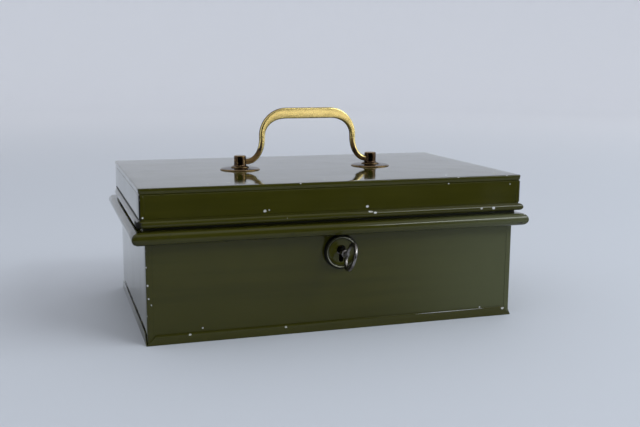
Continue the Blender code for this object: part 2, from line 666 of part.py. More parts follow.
def make_lock(steel, brass):
    half = LOCK_WIDTH / 2
    ear = half + LOCK_EAR
    centres = lock_rivet_places()
    plate_mesh = block((-ear, LOCK_FRONT, LOCK_BOTTOM), (ear, LOCK_FRONT + LOCK_PLATE, LOCK_TOP))
    plate = add("lock_plate", plate_mesh, steel)
    hole = prism(keyhole_outline(0.0006), "Y", LOCK_FRONT - SHEET, CASE_FRONT)
    holes = [helper("lock_plate_keyhole", hole)]
    for name, x, z in centres:
        bar = round_bar(RIVET_RADIUS + CLEARANCE, 0, 0.0040)
        mesh = turned(bar, 12, facing((0, 1, 0), (x, LOCK_FRONT - 0.0010, z)))
        holes.append(helper(f"{name}_hole", mesh))
    combine(plate, "DIFFERENCE", holes)

    wall = LOCK_PLATE
    outline = [(-ear, CASE_FRONT), (-half + wall, CASE_FRONT), (-half + wall, CASE_BACK - wall)]
    outline += [(half - wall, CASE_BACK - wall), (half - wall, CASE_FRONT), (ear, CASE_FRONT)]
    outline += [(ear, CASE_FRONT + wall), (half, CASE_FRONT + wall), (half, CASE_BACK)]
    outline += [(-half, CASE_BACK), (-half, CASE_FRONT + wall), (-ear, CASE_FRONT + wall)]
    case = add("lock_case", prism(outline, "Z", LOCK_BOTTOM, LOCK_TOP), steel)
    caps = []
    for name, z in (("lock_case_floor", LOCK_BOTTOM), ("lock_case_roof", LOCK_TOP - wall)):
        low = (-half + wall / 2, CASE_FRONT, z)
        high = (half - wall / 2, CASE_BACK - wall / 2, z + wall)
        caps.append(helper(name, block(low, high)))
    combine(case, "UNION", caps)
    slot_half = STAPLE_THICKNESS / 2 + 0.0010
    low = (-slot_half, CASE_FRONT - SHEET, LOCK_TOP - 2 * wall)
    slot = helper("lock_case_slot", block(low, (slot_half, CASE_BACK - wall, LOCK_TOP + wall)))
    combine(case, "DIFFERENCE", [slot] + holes[1:])

    shank_low = LOCK_FRONT + LOCK_PLATE - 0.0004
    for name, x, z in centres:
        back = CASE_FRONT + wall + CLEARANCE
        profile = [(0, shank_low), (RIVET_RADIUS, shank_low), (RIVET_RADIUS, back)]
        profile += [(RIVET_RADIUS * 2, back), (RIVET_RADIUS * 1.4, back + 0.0008), (0, back + 0.0010)]
        add(name, turned(profile, 12, facing((0, 1, 0), (x, 0, z))), steel, (x, back, z))

    ring = [(WARD_RADIUS - WARD_WALL / 2, 0), (WARD_RADIUS + WARD_WALL / 2, 0)]
    ring += [(WARD_RADIUS + WARD_WALL / 2, WARD_LENGTH - CLEARANCE)]
    ring += [(WARD_RADIUS - WARD_WALL / 2, WARD_LENGTH - CLEARANCE)]
    back = CASE_BACK - wall - CLEARANCE
    place = facing((0, -1, 0), (0, back, KEY_Z))
    add("lock_ward", turned(ring, 24, place), brass, (0, back, KEY_Z))


def lock_rivet_places():
    x = LOCK_WIDTH / 2 + LOCK_EAR / 2
    inset = 0.0040
    places = []
    for end, sign in (("left", -1), ("right", 1)):
        for level, z in (("lower", LOCK_BOTTOM + inset), ("upper", LOCK_TOP - inset)):
            places.append((f"lock_rivet_{end}_{level}", sign * x, z))
    return places


def make_bolt(steel):
    """Bolt with a bar that crosses the staple's eye, and two legs that the key's bit works between."""
    nose = -STAPLE_THICKNESS / 2 - 0.0010
    tail = -LOCK_WIDTH / 2 + LOCK_PLATE + 0.0016
    leg_in = BIT_RADIUS + 0.0018
    leg_out = leg_in + 0.0028
    leg_end = STRIP_BOTTOM - 0.0030
    outline = [(tail, BAR_TOP), (tail, leg_end), (-leg_in, leg_end), (-leg_in, STRIP_BOTTOM)]
    outline += [(leg_in, STRIP_BOTTOM), (leg_in, leg_end), (leg_out, leg_end), (leg_out, STRIP_TOP)]
    outline += [(-leg_in, STRIP_TOP), (-leg_in, BAR_BOTTOM), (nose, BAR_BOTTOM), (nose, BAR_TOP)]
    mesh = prism(outline, "Y", BOLT_Y, BOLT_Y + BOLT_THICKNESS)
    add("lock_bolt", mesh, steel, (tail, BOLT_Y, BAR_BOTTOM))


def make_bolt_spring(brass):
    """Bowed strip between the bolt's tail and the back of the case."""
    near = BOLT_Y + BOLT_THICKNESS + CLEARANCE
    far = CASE_BACK - LOCK_PLATE - CLEARANCE
    thick = 0.0003
    left = -LOCK_WIDTH / 2 + LOCK_PLATE + 0.0010
    right = -BIT_RADIUS - 0.0026
    bow = far - near - thick
    steps = 10
    crest = []
    for i in range(steps + 1):
        share = i / steps
        crest.append((left + (right - left) * share, far - thick - bow * sin(pi * share)))
    outline = crest + [(x, y + thick) for x, y in crest[::-1]]
    add("bolt_spring", prism(outline, "Z", BAR_BOTTOM + 0.0006, BAR_TOP - 0.0006), brass)


def make_staple(steel, parent):
    """Foot under the lid top, and a tongue with an eye that drops into the lock."""
    tongue_y = BOLT_Y - (STAPLE_WIDTH - BOLT_THICKNESS) / 2
    half = STAPLE_THICKNESS / 2
    top = LID_CEILING - CLEARANCE
    outline = [(-0.009, top), (-0.009, top - 0.0010), (-half, top - 0.0010), (-half, STAPLE_BOTTOM)]
    outline += [(half, STAPLE_BOTTOM), (half, top - 0.0010), (0.009, top - 0.0010), (0.009, top)]
    mesh = prism(outline, "Y", tongue_y, tongue_y + STAPLE_WIDTH)
    staple = add("lid_staple", mesh, steel, parent=parent)
    low = (-2 * half, BOLT_Y - 0.0006, EYE_BOTTOM)
    eye = block(low, (2 * half, BOLT_Y + BOLT_THICKNESS + 0.0006, EYE_TOP))
    combine(staple, "DIFFERENCE", [helper("staple_eye", eye)])


def make_hinges(steel, lid_axis):
    third = HINGE_WIDTH / 3
    plate_in = HALF_Y + LID_OVERHANG + CLEARANCE
    swing = KNUCKLE_RADIUS + CLEARANCE
    inset = HINGE_LEAF / 8
    for label, centre in hinge_centres():
        start = centre - HINGE_WIDTH / 2
        edges = [start, start + third, start + 2 * third, start + HINGE_WIDTH]

        def knuckle(name, low, high):
            bar = round_bar(KNUCKLE_RADIUS, 0, high - low)
            return helper(name, turned(bar, 20, facing((1, 0, 0), (low, HINGE_Y, HINGE_Z))))

        def bore(name):
            bar = round_bar(PIN_RADIUS + CLEARANCE, 0, HINGE_WIDTH + 0.002)
            place = facing((1, 0, 0), (start - 0.001, HINGE_Y, HINGE_Z))
            return helper(name, turned(bar, 12, place))

        low = (start, HALF_Y + NECK_STEP + CLEARANCE, HINGE_Z - KNUCKLE_RADIUS)
        high = (start + HINGE_WIDTH, HINGE_Y - swing, HINGE_Z - KNUCKLE_RADIUS + HINGE_LEAF)
        body_leaf = add(f"hinge_body_leaf_{label}", block(low, high), steel)
        pieces = []
        for i, (a, b) in enumerate(((edges[0], edges[1]), (edges[2], edges[3]))):
            tab_low = (a + inset, HINGE_Y - swing - HINGE_LEAF, low[2] + inset)
            tab = block(tab_low, (b - inset, HINGE_Y, high[2] - inset))
            pieces.append(helper(f"body_leaf_tab_{label}_{i}", tab))
            pieces.append(knuckle(f"body_leaf_knuckle_{label}_{i}", a, b))
        combine(body_leaf, "UNION", pieces)
        combine(body_leaf, "DIFFERENCE", [bore(f"body_leaf_bore_{label}")])

        low = (start, plate_in, HINGE_Z + swing)
        high = (start + HINGE_WIDTH, plate_in + HINGE_LEAF, HINGE_Z + HINGE_PLATE_HEIGHT)
        lid_leaf = add(f"hinge_lid_leaf_{label}", block(low, high), steel, parent=lid_axis)
        a, b = edges[1] + CLEARANCE, edges[2] - CLEARANCE
        tab_low = (a + inset, plate_in + inset, HINGE_Z)
        tab_high = (b - inset, plate_in + HINGE_LEAF - inset, HINGE_Z + swing + HINGE_LEAF)
        tab = block(tab_low, tab_high)
        tab = helper(f"lid_leaf_tab_{label}", tab)
        combine(lid_leaf, "UNION", [tab, knuckle(f"lid_knuckle_{label}", a, b)])
        cutters = [bore(f"lid_leaf_bore_{label}")]
        for end, x in rivet_places(centre):
            bar = round_bar(RIVET_RADIUS + CLEARANCE, 0, 4 * HINGE_LEAF)
            place = facing((0, 1, 0), (x, plate_in - HINGE_LEAF, rivet_height()))
            cutters.append(helper(f"lid_leaf_hole_{label}_{end}", turned(bar, 12, place)))
            inside = LID_Y - SHEET - CLEARANCE
            outside = plate_in + HINGE_LEAF + CLEARANCE
            head = RIVET_RADIUS * 2.2
            tail = RIVET_RADIUS * 1.7
            profile = [(0, inside - 0.0007), (tail * 0.7, inside - 0.0007), (tail, inside)]
            profile += [(RIVET_RADIUS, inside), (RIVET_RADIUS, outside), (head, outside)]
            profile += [(head * 0.8, outside + 0.0006), (head * 0.4, outside + 0.0010), (0, outside + 0.0011)]
            rivet = turned(profile, 12, facing((0, 1, 0), (x, 0, rivet_height())))
            name = f"hinge_rivet_{label}_{end}"
            add(name, rivet, steel, (x, LID_Y, rivet_height()), lid_axis)
        combine(lid_leaf, "DIFFERENCE", cutters)

        pin = turned(round_bar(PIN_RADIUS, 0, HINGE_WIDTH), 12, facing((1, 0, 0), (start, HINGE_Y, HINGE_Z)))
        add(f"hinge_pin_{label}", pin, steel, (start, HINGE_Y, HINGE_Z))


def make_tray(enamel, steel, parent):
    loops = []
    for inset, z in ((0, TRAY_TOP), (0, TRAY_BOTTOM), (SHEET, TRAY_TOP), (SHEET, TRAY_BOTTOM + SHEET)):
        x = TRAY_X - inset
        front, back = TRAY_FRONT + inset, TRAY_BACK - inset
        loops.append([(-x, front, z), (x, front, z), (x, back, z), (-x, back, z)])
    outer_top, outer_bottom, inner_top, inner_bottom = loops
    add("tray_pan", loft([outer_bottom, outer_top, inner_top, inner_bottom]), enamel, parent=parent)

    low = TRAY_BOTTOM + SHEET + CLEARANCE
    high = TRAY_TOP - 0.0015
    inner_x = TRAY_X - SHEET - CLEARANCE
    long_y = TRAY_FRONT + (TRAY_BACK - TRAY_FRONT) * TRAY_LONG_SHARE
    mesh = block((-inner_x, long_y, low), (inner_x, long_y + SHEET, high))
    add("tray_long_divider", mesh, enamel, parent=parent)
    for i in range(CROSS_DIVIDERS):
        x = -TRAY_X + 2 * TRAY_X * (i + 1) / (CROSS_DIVIDERS + 1)
        front = TRAY_FRONT + SHEET + CLEARANCE
        mesh = block((x - SHEET / 2, front, low), (x + SHEET / 2, long_y - CLEARANCE, high))
        add(f"tray_cross_divider_{i + 1}", mesh, enamel, parent=parent)

    pull_y = (long_y + SHEET + TRAY_BACK) / 2
    for sign, label in ((-1, "left"), (1, "right")):
        make_pull(label, sign, pull_y, steel, parent)


def make_pull(label, sign, middle, steel, parent):
    """Wire pull that hangs inside the tray's end, and the bracket whose two eyes it turns in."""
    half = PULL_WIDTH / 2
    x = sign * PULL_X
    corner = 0.0025
    low = PULL_Z - PULL_HEIGHT
    path = [(half + 0.0030, PULL_Z), (half + 0.0012, PULL_Z)]
    path += arc((half + 0.0012, PULL_Z - 0.0012), 0.0012, 90, 180, 3)[1:]
    path += [(a, b) for a, b in arc((half - corner, low + corner), corner, 0, -90, 4)]
    points = path + [(-a, b) for a, b in path[::-1]]
    axis = add_axis(f"pull_{label}_axis", Vector((x, middle, PULL_Z)), parent)
    if parent:
        axis.location -= parent.location
    spots = [(x, middle + a, b) for a, b in points]
    pull = add(f"tray_pull_{label}", wire(spots, PULL_WIRE, 8, (1, 0, 0)), steel, (x, middle, PULL_Z))
    pull.parent = axis
    pull.location = (0, 0, 0)

    wall = sign * (TRAY_X - SHEET - CLEARANCE)
    xs = sorted((wall, wall - sign * BRACKET_PLATE))
    reach = half + 0.0046
    plate = block((xs[0], middle - reach, PULL_Z - 0.0022), (xs[1], middle + reach, PULL_Z + 0.0022))
    bracket = add(f"tray_bracket_{label}", plate, steel, parent=parent)
    eyes = []
    bores = []
    for end, place_y in (("front", -1), ("back", 1)):
        a = middle + place_y * (half + 0.0015)
        b = middle + place_y * reach
        lo, hi = sorted((a, b))
        bar = round_bar(BRACKET_KNUCKLE, 0, hi - lo)
        eyes.append(helper(f"bracket_eye_{label}_{end}", turned(bar, 12, facing((0, 1, 0), (x, lo, PULL_Z)))))
        hole = turned(round_bar(PULL_WIRE + CLEARANCE, 0, 0.0032), 12, facing((0, 1, 0), (x, 0, 0)))
        start = a - 0.0001 if place_y > 0 else a - 0.0031
        bmesh.ops.translate(hole, verts=hole.verts, vec=(0, start, PULL_Z))
        bores.append(helper(f"bracket_bore_{label}_{end}", hole))
    combine(bracket, "UNION", eyes)
    combine(bracket, "DIFFERENCE", bores)


def main():
    clear_scene()
    enamel = make_material("green_enamel", (0.060, 0.062, 0.014), 0.16, 0.0)
    inside = make_material("tray_enamel", (0.055, 0.057, 0.016), 0.30, 0.0)
    brass = make_material("polished_brass", (0.72, 0.52, 0.16), 0.25, 1.0)
    bronze = make_material("aged_brass", (0.20, 0.13, 0.06), 0.42, 1.0)
    steel = make_material("key_steel", (0.32, 0.31, 0.30), 0.30, 1.0)
    plated = make_material("plated_steel", (0.55, 0.55, 0.54), 0.38, 1.0)

    lid_axis = add_axis("lid_axis", (0, HINGE_Y, HINGE_Z))
    key_axis = add_axis("key_axis", (0, 0, KEY_Z))
    tray_rest = add_axis("tray_rest", (0, 0, TRAY_BOTTOM))
    make_base_pan(enamel)
    make_body(enamel)
    make_ledges(enamel)
    make_lid(enamel, lid_axis)
    make_lid_top(enamel, lid_axis)
    make_posts(bronze, plated, lid_axis)
    make_handle(brass, lid_axis)
    make_escutcheon(enamel)
    make_key(steel, key_axis)
    make_lock(plated, brass)
    make_bolt(plated)
    make_bolt_spring(brass)
    make_staple(plated, lid_axis)
    make_hinges(plated, lid_axis)
    make_tray(inside, plated, tray_rest)


main()
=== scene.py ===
"""Looks of a locking sheet-steel box with a swing handle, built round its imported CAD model.

Metres, +Z up, front at -Y.
"""

from math import atan2, cos, pi, radians, sin

import bmesh
import bpy
from mathutils import Matrix, Vector, noise


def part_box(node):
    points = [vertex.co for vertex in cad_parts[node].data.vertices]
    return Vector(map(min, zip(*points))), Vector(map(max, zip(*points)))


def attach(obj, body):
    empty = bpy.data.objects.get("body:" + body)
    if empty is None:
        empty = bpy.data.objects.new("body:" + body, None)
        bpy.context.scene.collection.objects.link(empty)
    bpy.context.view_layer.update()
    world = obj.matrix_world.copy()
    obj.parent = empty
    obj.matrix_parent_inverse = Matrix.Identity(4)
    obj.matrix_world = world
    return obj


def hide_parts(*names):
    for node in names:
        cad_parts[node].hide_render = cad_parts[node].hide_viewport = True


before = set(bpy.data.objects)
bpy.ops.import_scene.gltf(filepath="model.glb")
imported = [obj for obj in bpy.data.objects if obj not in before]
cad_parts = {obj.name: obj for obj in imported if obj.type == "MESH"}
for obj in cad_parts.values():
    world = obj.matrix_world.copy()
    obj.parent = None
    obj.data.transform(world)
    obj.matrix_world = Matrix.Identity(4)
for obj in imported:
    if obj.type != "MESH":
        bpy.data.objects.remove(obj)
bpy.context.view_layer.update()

scene = bpy.context.scene
BOX = {name: [Vector(corner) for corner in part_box(name)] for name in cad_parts}

# Sheet steel, as in the CAD model
SHEET = 0.0006
GAP = 0.0003

# Body, from the boxes of its nodes
HALF_X = BOX["base_pan"][1].x - GAP - SHEET
HALF_Y = BOX["base_pan"][1].y - GAP - SHEET
WALL_FOOT, NECK_TOP = BOX["body_front"][0].z, BOX["body_front"][1].z
BEAD_REACH = -HALF_Y - BOX["body_front"][0].y
BEAD_BOTTOM = 0.0651
BEAD_HEIGHT = 0.0083
NECK_STEP = 0.0012
BODY_LAP = 0.0028
CORNER_RADIUS = 0.0013

# Lid
LID_FOOT, LID_TOP = BOX["lid_front"][0].z, BOX["lid_top"][1].z
LID_X = BOX["lid_top"][1].x - GAP
LID_Y = BOX["lid_top"][1].y - GAP
LID_CEILING = LID_TOP - SHEET
LID_BEAD_REACH = -LID_Y - BOX["lid_front"][0].y
LID_BEAD_HEIGHT = 0.0046
LID_LAP = 0.0020
LID_RIM = 0.0035
LID_JOGGLE = 0.0006
LAP_STEP = 0.00022

# Handle and posts
PIVOT_Z = LID_TOP + 0.0055
POST_X = (BOX["post_right"][0].x + BOX["post_right"][1].x) / 2
POST_TOP = BOX["post_left"][1].z
POST_RADIUS = 0.0043
POST_FOOT_RADIUS = 0.0065
ROSE_RADIUS = 0.0142
ROSE_HEIGHT = 0.0011
HANDLE_SHIFT = (BOX["handle"][0].x + BOX["handle"][1].x) / 2
HANDLE_TOP = BOX["handle"][1].z
HANDLE_WIDTH = 0.0726
HANDLE_BAR = 0.0076
HANDLE_LEG = 0.0040
HANDLE_THICKNESS = 0.0045
HANDLE_CORNER = 0.0200
HANDLE_FOOT_RISE = 0.0160

# Lock and key
ESCUTCHEON_Z = (BOX["escutcheon"][0].z + BOX["escutcheon"][1].z) / 2
ESCUTCHEON_RADIUS = (BOX["escutcheon"][1].z - BOX["escutcheon"][0].z) / 2
ESCUTCHEON_DEPTH = -HALF_Y - BOX["escutcheon"][0].y
KEYHOLE_RADIUS = 0.0033
KEYHOLE_SLOT = 0.0033
KEYHOLE_DROP = 0.0080
KEYHOLE_Z = ESCUTCHEON_Z + 0.0012
KEY_Z = KEYHOLE_Z - (KEYHOLE_RADIUS - 0.0021 - 0.0004)
KEY_TURN = radians(15)
KEY_FRONT, KEY_BACK = BOX["key"][0].y, BOX["key"][1].y
SHANK_RADIUS = 0.0021
BOW_LONG = 0.0075
BOW_WIDE = 0.0084
BOW_WIRE = 0.0011


# Node graphs


class Graph:
    """Short names for a material's nodes. Every call gives the socket that later calls take."""

    def __init__(self, name):
        self.material = bpy.data.materials.new(name)
        self.material.use_nodes = True
        self.nodes = self.material.node_tree.nodes
        self.links = self.material.node_tree.links
        self.shader = self.nodes["Principled BSDF"]
        self.place = self.nodes.new("ShaderNodeTexCoord").outputs["Object"]

    def node(self, kind, settings=(), inputs=()):
        made = self.nodes.new(kind)
        for key, value in dict(settings).items():
            setattr(made, key, value)
        for key, value in dict(inputs).items():
            if isinstance(value, bpy.types.NodeSocket):
                self.links.new(value, made.inputs[key])
            else:
                made.inputs[key].default_value = value
        return made

    def math(self, operation, a, b=0.0, c=0.0, clamp=False):
        settings = {"operation": operation, "use_clamp": clamp}
        return self.node("ShaderNodeMath", settings, {0: a, 1: b, 2: c}).outputs[0]

    def stretched(self, scale):
        return self.node("ShaderNodeMapping", (), {"Vector": self.place, "Scale": scale}).outputs[0]

    def noise(self, scale, detail=3.0, roughness=0.55, vector=None):
        inputs = {"Scale": scale, "Detail": detail, "Roughness": roughness}
        inputs["Vector"] = vector or self.place
        return self.node("ShaderNodeTexNoise", (), inputs).outputs[0]

    def cells(self, scale):
        return self.node("ShaderNodeTexVoronoi", (), {"Scale": scale, "Vector": self.place})

    def step(self, value, low, high, to_low=0.0, to_high=1.0):
        """value taken smoothly from low..high to to_low..to_high."""
        inputs = {"Value": value, "From Min": low, "From Max": high, "To Min": to_low, "To Max": to_high}
        return self.node("ShaderNodeMapRange", {"interpolation_type": "SMOOTHSTEP"}, inputs).outputs[0]

    def mix(self, factor, a, b):
        made = self.nodes.new("ShaderNodeMix")
        made.data_type = "RGBA"
        for socket, value in ((0, factor), (6, a), (7, b)):
            if isinstance(value, bpy.types.NodeSocket):
                self.links.new(value, made.inputs[socket])
            else:
                made.inputs[socket].default_value = value if socket == 0 else (*value, 1)
        return made.outputs[2]

    def attribute(self, name):
        return self.node("ShaderNodeAttribute", {"attribute_name": name}).outputs["Fac"]

    def bump(self, height, distance, strength=1.0, normal=None):
        inputs = {"Height": height, "Distance": distance, "Strength": strength}
        if normal:
            inputs["Normal"] = normal
        return self.node("ShaderNodeBump", (), inputs).outputs[0]

    def finish(self, **inputs):
        for key, value in inputs.items():
            socket = self.shader.inputs[key.replace("_", " ")]
            if isinstance(value, bpy.types.NodeSocket):
                self.links.new(value, socket)
            else:
                socket.default_value = (*value, 1) if isinstance(value, tuple) else value
        return self.material


def enamel_material(name, base, dark, light, gloss, wear=True):
    """Stoved enamel with streaks, orange peel and dull handling marks.

    The attributes edge (rubbed, with bare specks), painted_shade (painted shade, dark and dull) and
    painted_light (painted light, paler) mark the places.
    """
    g = Graph(name)
    cloud = g.step(g.noise(14.0, 4.0), 0.35, 0.68)
    streak = g.step(g.noise(60.0, 3.0, vector=g.stretched((0.12, 0.5, 2.2))), 0.38, 0.70)
    colour = g.mix(cloud, base, light)
    colour = g.mix(g.math("MULTIPLY", streak, 0.45), colour, dark)
    haze = g.step(g.noise(32.0, 6.0, 0.7), 0.50, 0.80)
    roughness = g.step(haze, 0.0, 1.0, gloss, gloss + 0.10)
    waves = g.noise(16.0, 2.0)
    peel = g.noise(420.0, 2.0)
    normal = g.bump(waves, 0.0005)
    normal = g.bump(peel, 0.000012, normal=normal)
    coat = 0.6
    if wear:
        # Painted light: paler and greyer towards the right end of the front, where more light falls.
        colour = g.mix(g.attribute("painted_light"), colour, (0.068, 0.073, 0.030))
        edge = g.attribute("edge")
        spot = g.cells(310.0)
        pick = g.node("ShaderNodeSeparateXYZ", (), {0: spot.outputs["Color"]}).outputs[1]
        ragged = g.math("ADD", spot.outputs["Distance"], g.math("MULTIPLY", g.noise(1400.0), 0.30))
        blot = g.step(ragged, 0.30, 0.36, 1.0, 0.0)
        chance = g.step(g.math("MULTIPLY_ADD", edge, 0.14, pick), 1.005, 1.015)
        bare = g.math("MULTIPLY", blot, chance)
        rub = g.math("MULTIPLY", edge, g.step(g.noise(170.0, 5.0, 0.7), 0.60, 0.70))
        colour = g.mix(g.math("MULTIPLY", rub, 0.55), colour, (0.016, 0.014, 0.010))
        # Painted shade: near black in the groove, gaps, bead ends and round the escutcheon, with the coat
        # off and rougher.
        painted_shade = g.step(g.attribute("painted_shade"), 0.2, 0.8)
        colour = g.mix(painted_shade, colour, (0.004, 0.0035, 0.002))
        roughness = g.math("MULTIPLY_ADD", painted_shade, 0.6, roughness, clamp=True)
        coat = g.step(painted_shade, 0.0, 1.0, 0.6, 0.0)
        colour = g.mix(bare, colour, (0.46, 0.46, 0.44))
        roughness = g.math("ADD", roughness, g.math("MULTIPLY", bare, 0.35), clamp=True)
    return g.finish(
        Base_Color=colour,
        Roughness=roughness,
        Normal=normal,
        IOR=1.3,
        Coat_Weight=coat,
        Coat_IOR=1.2,
        Coat_Roughness=0.05,
        Coat_Normal=normal,
    )


def brass_material():
    """Handled brass: bright where it is rubbed, with brown patina in streaks and hollows."""
    g = Graph("polished_brass_worn")
    patina = g.attribute("patina")
    mottle = g.noise(190.0, 5.0, 0.65)
    soft = g.noise(46.0, 3.0)
    reach = g.math("ADD", patina, g.math("MULTIPLY", g.math("SUBTRACT", mottle, 0.5), 0.9))
    brown = g.step(reach, 0.42, 0.66)
    bright = g.mix(g.step(soft, 0.35, 0.65), (0.93, 0.74, 0.30), (0.86, 0.68, 0.26))
    tarnish = g.mix(g.step(mottle, 0.40, 0.62), (0.035, 0.020, 0.010), (0.14, 0.080, 0.025))
    colour = g.mix(brown, bright, tarnish)
    scratch = g.noise(900.0, 4.0, 0.6, vector=g.stretched((0.16, 1.0, 1.0)))
    roughness = g.math("ADD", g.step(brown, 0, 1, 0.22, 0.50), g.math("MULTIPLY", scratch, 0.10))
    normal = g.bump(g.noise(95.0, 2.0), 0.00025)
    normal = g.bump(scratch, 0.000014, normal=normal)
    metal = g.step(brown, 0.0, 1.0, 1.0, 0.25)
    return g.finish(
        Base_Color=colour, Roughness=roughness, Normal=normal, Metallic=metal, Specular_IOR_Level=0.2
    )


def bronze_material():
    """Posts and roses: brass gone nearly black, rubbed through in places."""
    g = Graph("aged_brass_dark")
    mottle = g.noise(260.0, 5.0, 0.65)
    wide = g.noise(80.0, 2.0)
    rubbed = g.step(g.math("ADD", mottle, g.math("MULTIPLY", wide, 0.6)), 0.90, 1.10)
    rubbed = g.math("MAXIMUM", rubbed, g.math("MULTIPLY", g.attribute("edge"), 0.75))
    colour = g.mix(rubbed, (0.060, 0.036, 0.020), (0.34, 0.22, 0.085))
    roughness = g.step(mottle, 0.3, 0.7, 0.16, 0.28)
    normal = g.bump(mottle, 0.00006)
    return g.finish(Base_Color=colour, Roughness=roughness, Normal=normal, Metallic=1.0)


def steel_material(name, bright, dull, gloss, grain=(1.0, 1.0, 0.08)):
    """Bare or plated steel with fine grain and clouded tarnish."""
    g = Graph(name)
    cloud = g.step(g.noise(120.0, 5.0, 0.65), 0.40, 0.68)
    fine = g.noise(1300.0, 3.0, vector=g.stretched(grain))
    colour = g.mix(cloud, bright, dull)
    roughness = g.math("ADD", g.step(cloud, 0, 1, gloss, gloss + 0.16), g.math("MULTIPLY", fine, 0.08))
    normal = g.bump(fine, 0.00001)
    normal = g.bump(g.noise(150.0, 3.0), 0.00008, normal=normal)
    return g.finish(Base_Color=colour, Roughness=roughness, Normal=normal, Metallic=1.0)


def primer_material():
    """What shows where the enamel has chipped off: pale primer over tinned steel. It also makes one painted
    highlight, a thin line on the base pan.
    """
    g = Graph("chipped_primer_and_highlight")
    colour = g.mix(g.step(g.noise(1500.0), 0.4, 0.6), (0.60, 0.61, 0.62), (0.38, 0.37, 0.33))
    return g.finish(Base_Color=colour, Roughness=0.5, Normal=g.bump(g.noise(2500.0), 0.00002))


def backdrop_material():
    g = Graph("backdrop_paper_painted_light")
    away = g.node("ShaderNodeVectorMath", {"operation": "LENGTH"}, {0: g.place}).outputs["Value"]
    # Painted light: the paper is darker on the floor round the box and paler out on the curved wall,
    # standing in for how the light falls.
    colour = g.mix(g.step(away, 0.5, 2.6), (0.550, 0.575, 0.625), (0.775, 0.785, 0.825))
    return g.finish(Base_Color=colour, Roughness=0.75, Normal=g.bump(g.noise(700.0), 0.00005))


ENAMEL = enamel_material(
    "olive_enamel", (0.036, 0.035, 0.0035), (0.027, 0.026, 0.0026), (0.041, 0.040, 0.0050), 0.07
)
INNER = enamel_material(
    "olive_enamel_inside",
    (0.034, 0.033, 0.007),
    (0.026, 0.025, 0.006),
    (0.040, 0.039, 0.010),
    0.16,
    wear=False,
)
BRASS = brass_material()
BRONZE = bronze_material()
KEY_STEEL = steel_material("key_steel_worn", (0.25, 0.235, 0.225), (0.10, 0.085, 0.075), 0.20)
PLATED = steel_material("plated_steel_dull", (0.58, 0.58, 0.57), (0.40, 0.39, 0.36), 0.24)
LOCK_BRASS = steel_material("lock_brass_dull", (0.70, 0.52, 0.20), (0.42, 0.29, 0.10), 0.26)
RIM_BRASS = steel_material("rim_brass_dull", (0.30, 0.29, 0.24), (0.10, 0.10, 0.07), 0.20)
PRIMER_AND_HIGHLIGHT = primer_material()


# Mesh building


def piece(name, mesh, body, material, nodes=(), sharp=32, attributes=None):
    """Makes a finished mesh into a piece that rides on a body and stands for the given nodes."""
    bmesh.ops.recalc_face_normals(mesh, faces=mesh.faces)
    data = bpy.data.meshes.new(name)
    mesh.to_mesh(data)
    mesh.free()
    data.shade_smooth()
    data.set_sharp_from_angle(angle=radians(sharp))
    data.materials.append(material)
    for key, function in (attributes or {}).items():
        layer = data.attributes.new(key, "FLOAT", "POINT")
        layer.data.foreach_set("value", [function(vertex.co) for vertex in data.vertices])
    obj = bpy.data.objects.new(name, data)
    scene.collection.objects.link(obj)
    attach(obj, body)
    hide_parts(*nodes)
    return obj


def grid(rows, round_rows=False, round_columns=False):
    """A skin over rows of points. Each row runs along a section; the rows follow one another."""
    mesh = bmesh.new()
    made = [[mesh.verts.new(point) for point in row] for row in rows]
    row_pairs = list(zip(made, made[1:])) + ([(made[-1], made[0])] if round_rows else [])
    for low, high in row_pairs:
        steps = len(low) if round_columns else len(low) - 1
        for i in range(steps):
            j = (i + 1) % len(low)
            mesh.faces.new((low[i], low[j], high[j], high[i]))
    if round_columns and not round_rows:
        mesh.faces.new(made[0])
        mesh.faces.new(made[-1])
    return mesh


def arc(centre, radius, start, end, steps):
    """Points on an arc, with both ends. Angles in degrees."""
    turns = [radians(start + (end - start) * i / steps) for i in range(steps + 1)]
    return [(centre[0] + radius * cos(t), centre[1] + radius * sin(t)) for t in turns]


def lathe(profile, place, segments=72):
    """A solid of revolution from (radius, height) points; where its ends are off the axis it is a ring."""
    mesh = bmesh.new()
    columns, poles = [], {}
    for i in range(segments):
        turn = 2 * pi * i / segments
        column = []
        for j, (radius, height) in enumerate(profile):
            if radius > 0:
                point = Vector((radius * cos(turn), radius * sin(turn), height))
                column.append(mesh.verts.new(place @ point))
                continue
            if j not in poles:
                poles[j] = mesh.verts.new(place @ Vector((0, 0, height)))
            column.append(poles[j])
        columns.append(column)
    steps = len(profile) if profile[0][0] > 0 else len(profile) - 1
    for i, this in enumerate(columns):
        after = columns[(i + 1) % segments]
        for j in range(steps):
            k = (j + 1) % len(profile)
            corners = list(dict.fromkeys((this[j], after[j], after[k], this[k])))
            if len(corners) > 2:
                mesh.faces.new(corners)
    return mesh


def facing(direction, place):
    turn = Vector((0, 0, 1)).rotation_difference(Vector(direction)).to_matrix().to_4x4()
    return Matrix.Translation(Vector(place)) @ turn


def rounded(profile, radius, steps=3):
    """The same open outline with each inner corner rounded off."""
    points = [Vector(point) for point in profile]
    out = [points[0]]
    for before, corner, after in zip(points, points[1:], points[2:]):
        reach = min(radius, (before - corner).length * 0.45, (after - corner).length * 0.45)
        a = corner + (before - corner).normalized() * reach
        b = corner + (after - corner).normalized() * reach
        for i in range(steps + 1):
            t = i / steps
            out.append(a * (1 - t) ** 2 + corner * (2 * t * (1 - t)) + b * t * t)
    out.append(points[-1])
    return [tuple(point) for point in out]


def solid_from(mesh, name):
    """A helper object that only cuts another. It is removed when the cut is done."""
    bmesh.ops.recalc_face_normals(mesh, faces=mesh.faces)
    data = bpy.data.meshes.new(name)
    mesh.to_mesh(data)
    mesh.free()
    obj = bpy.data.objects.new(name, data)
    scene.collection.objects.link(obj)
    return obj


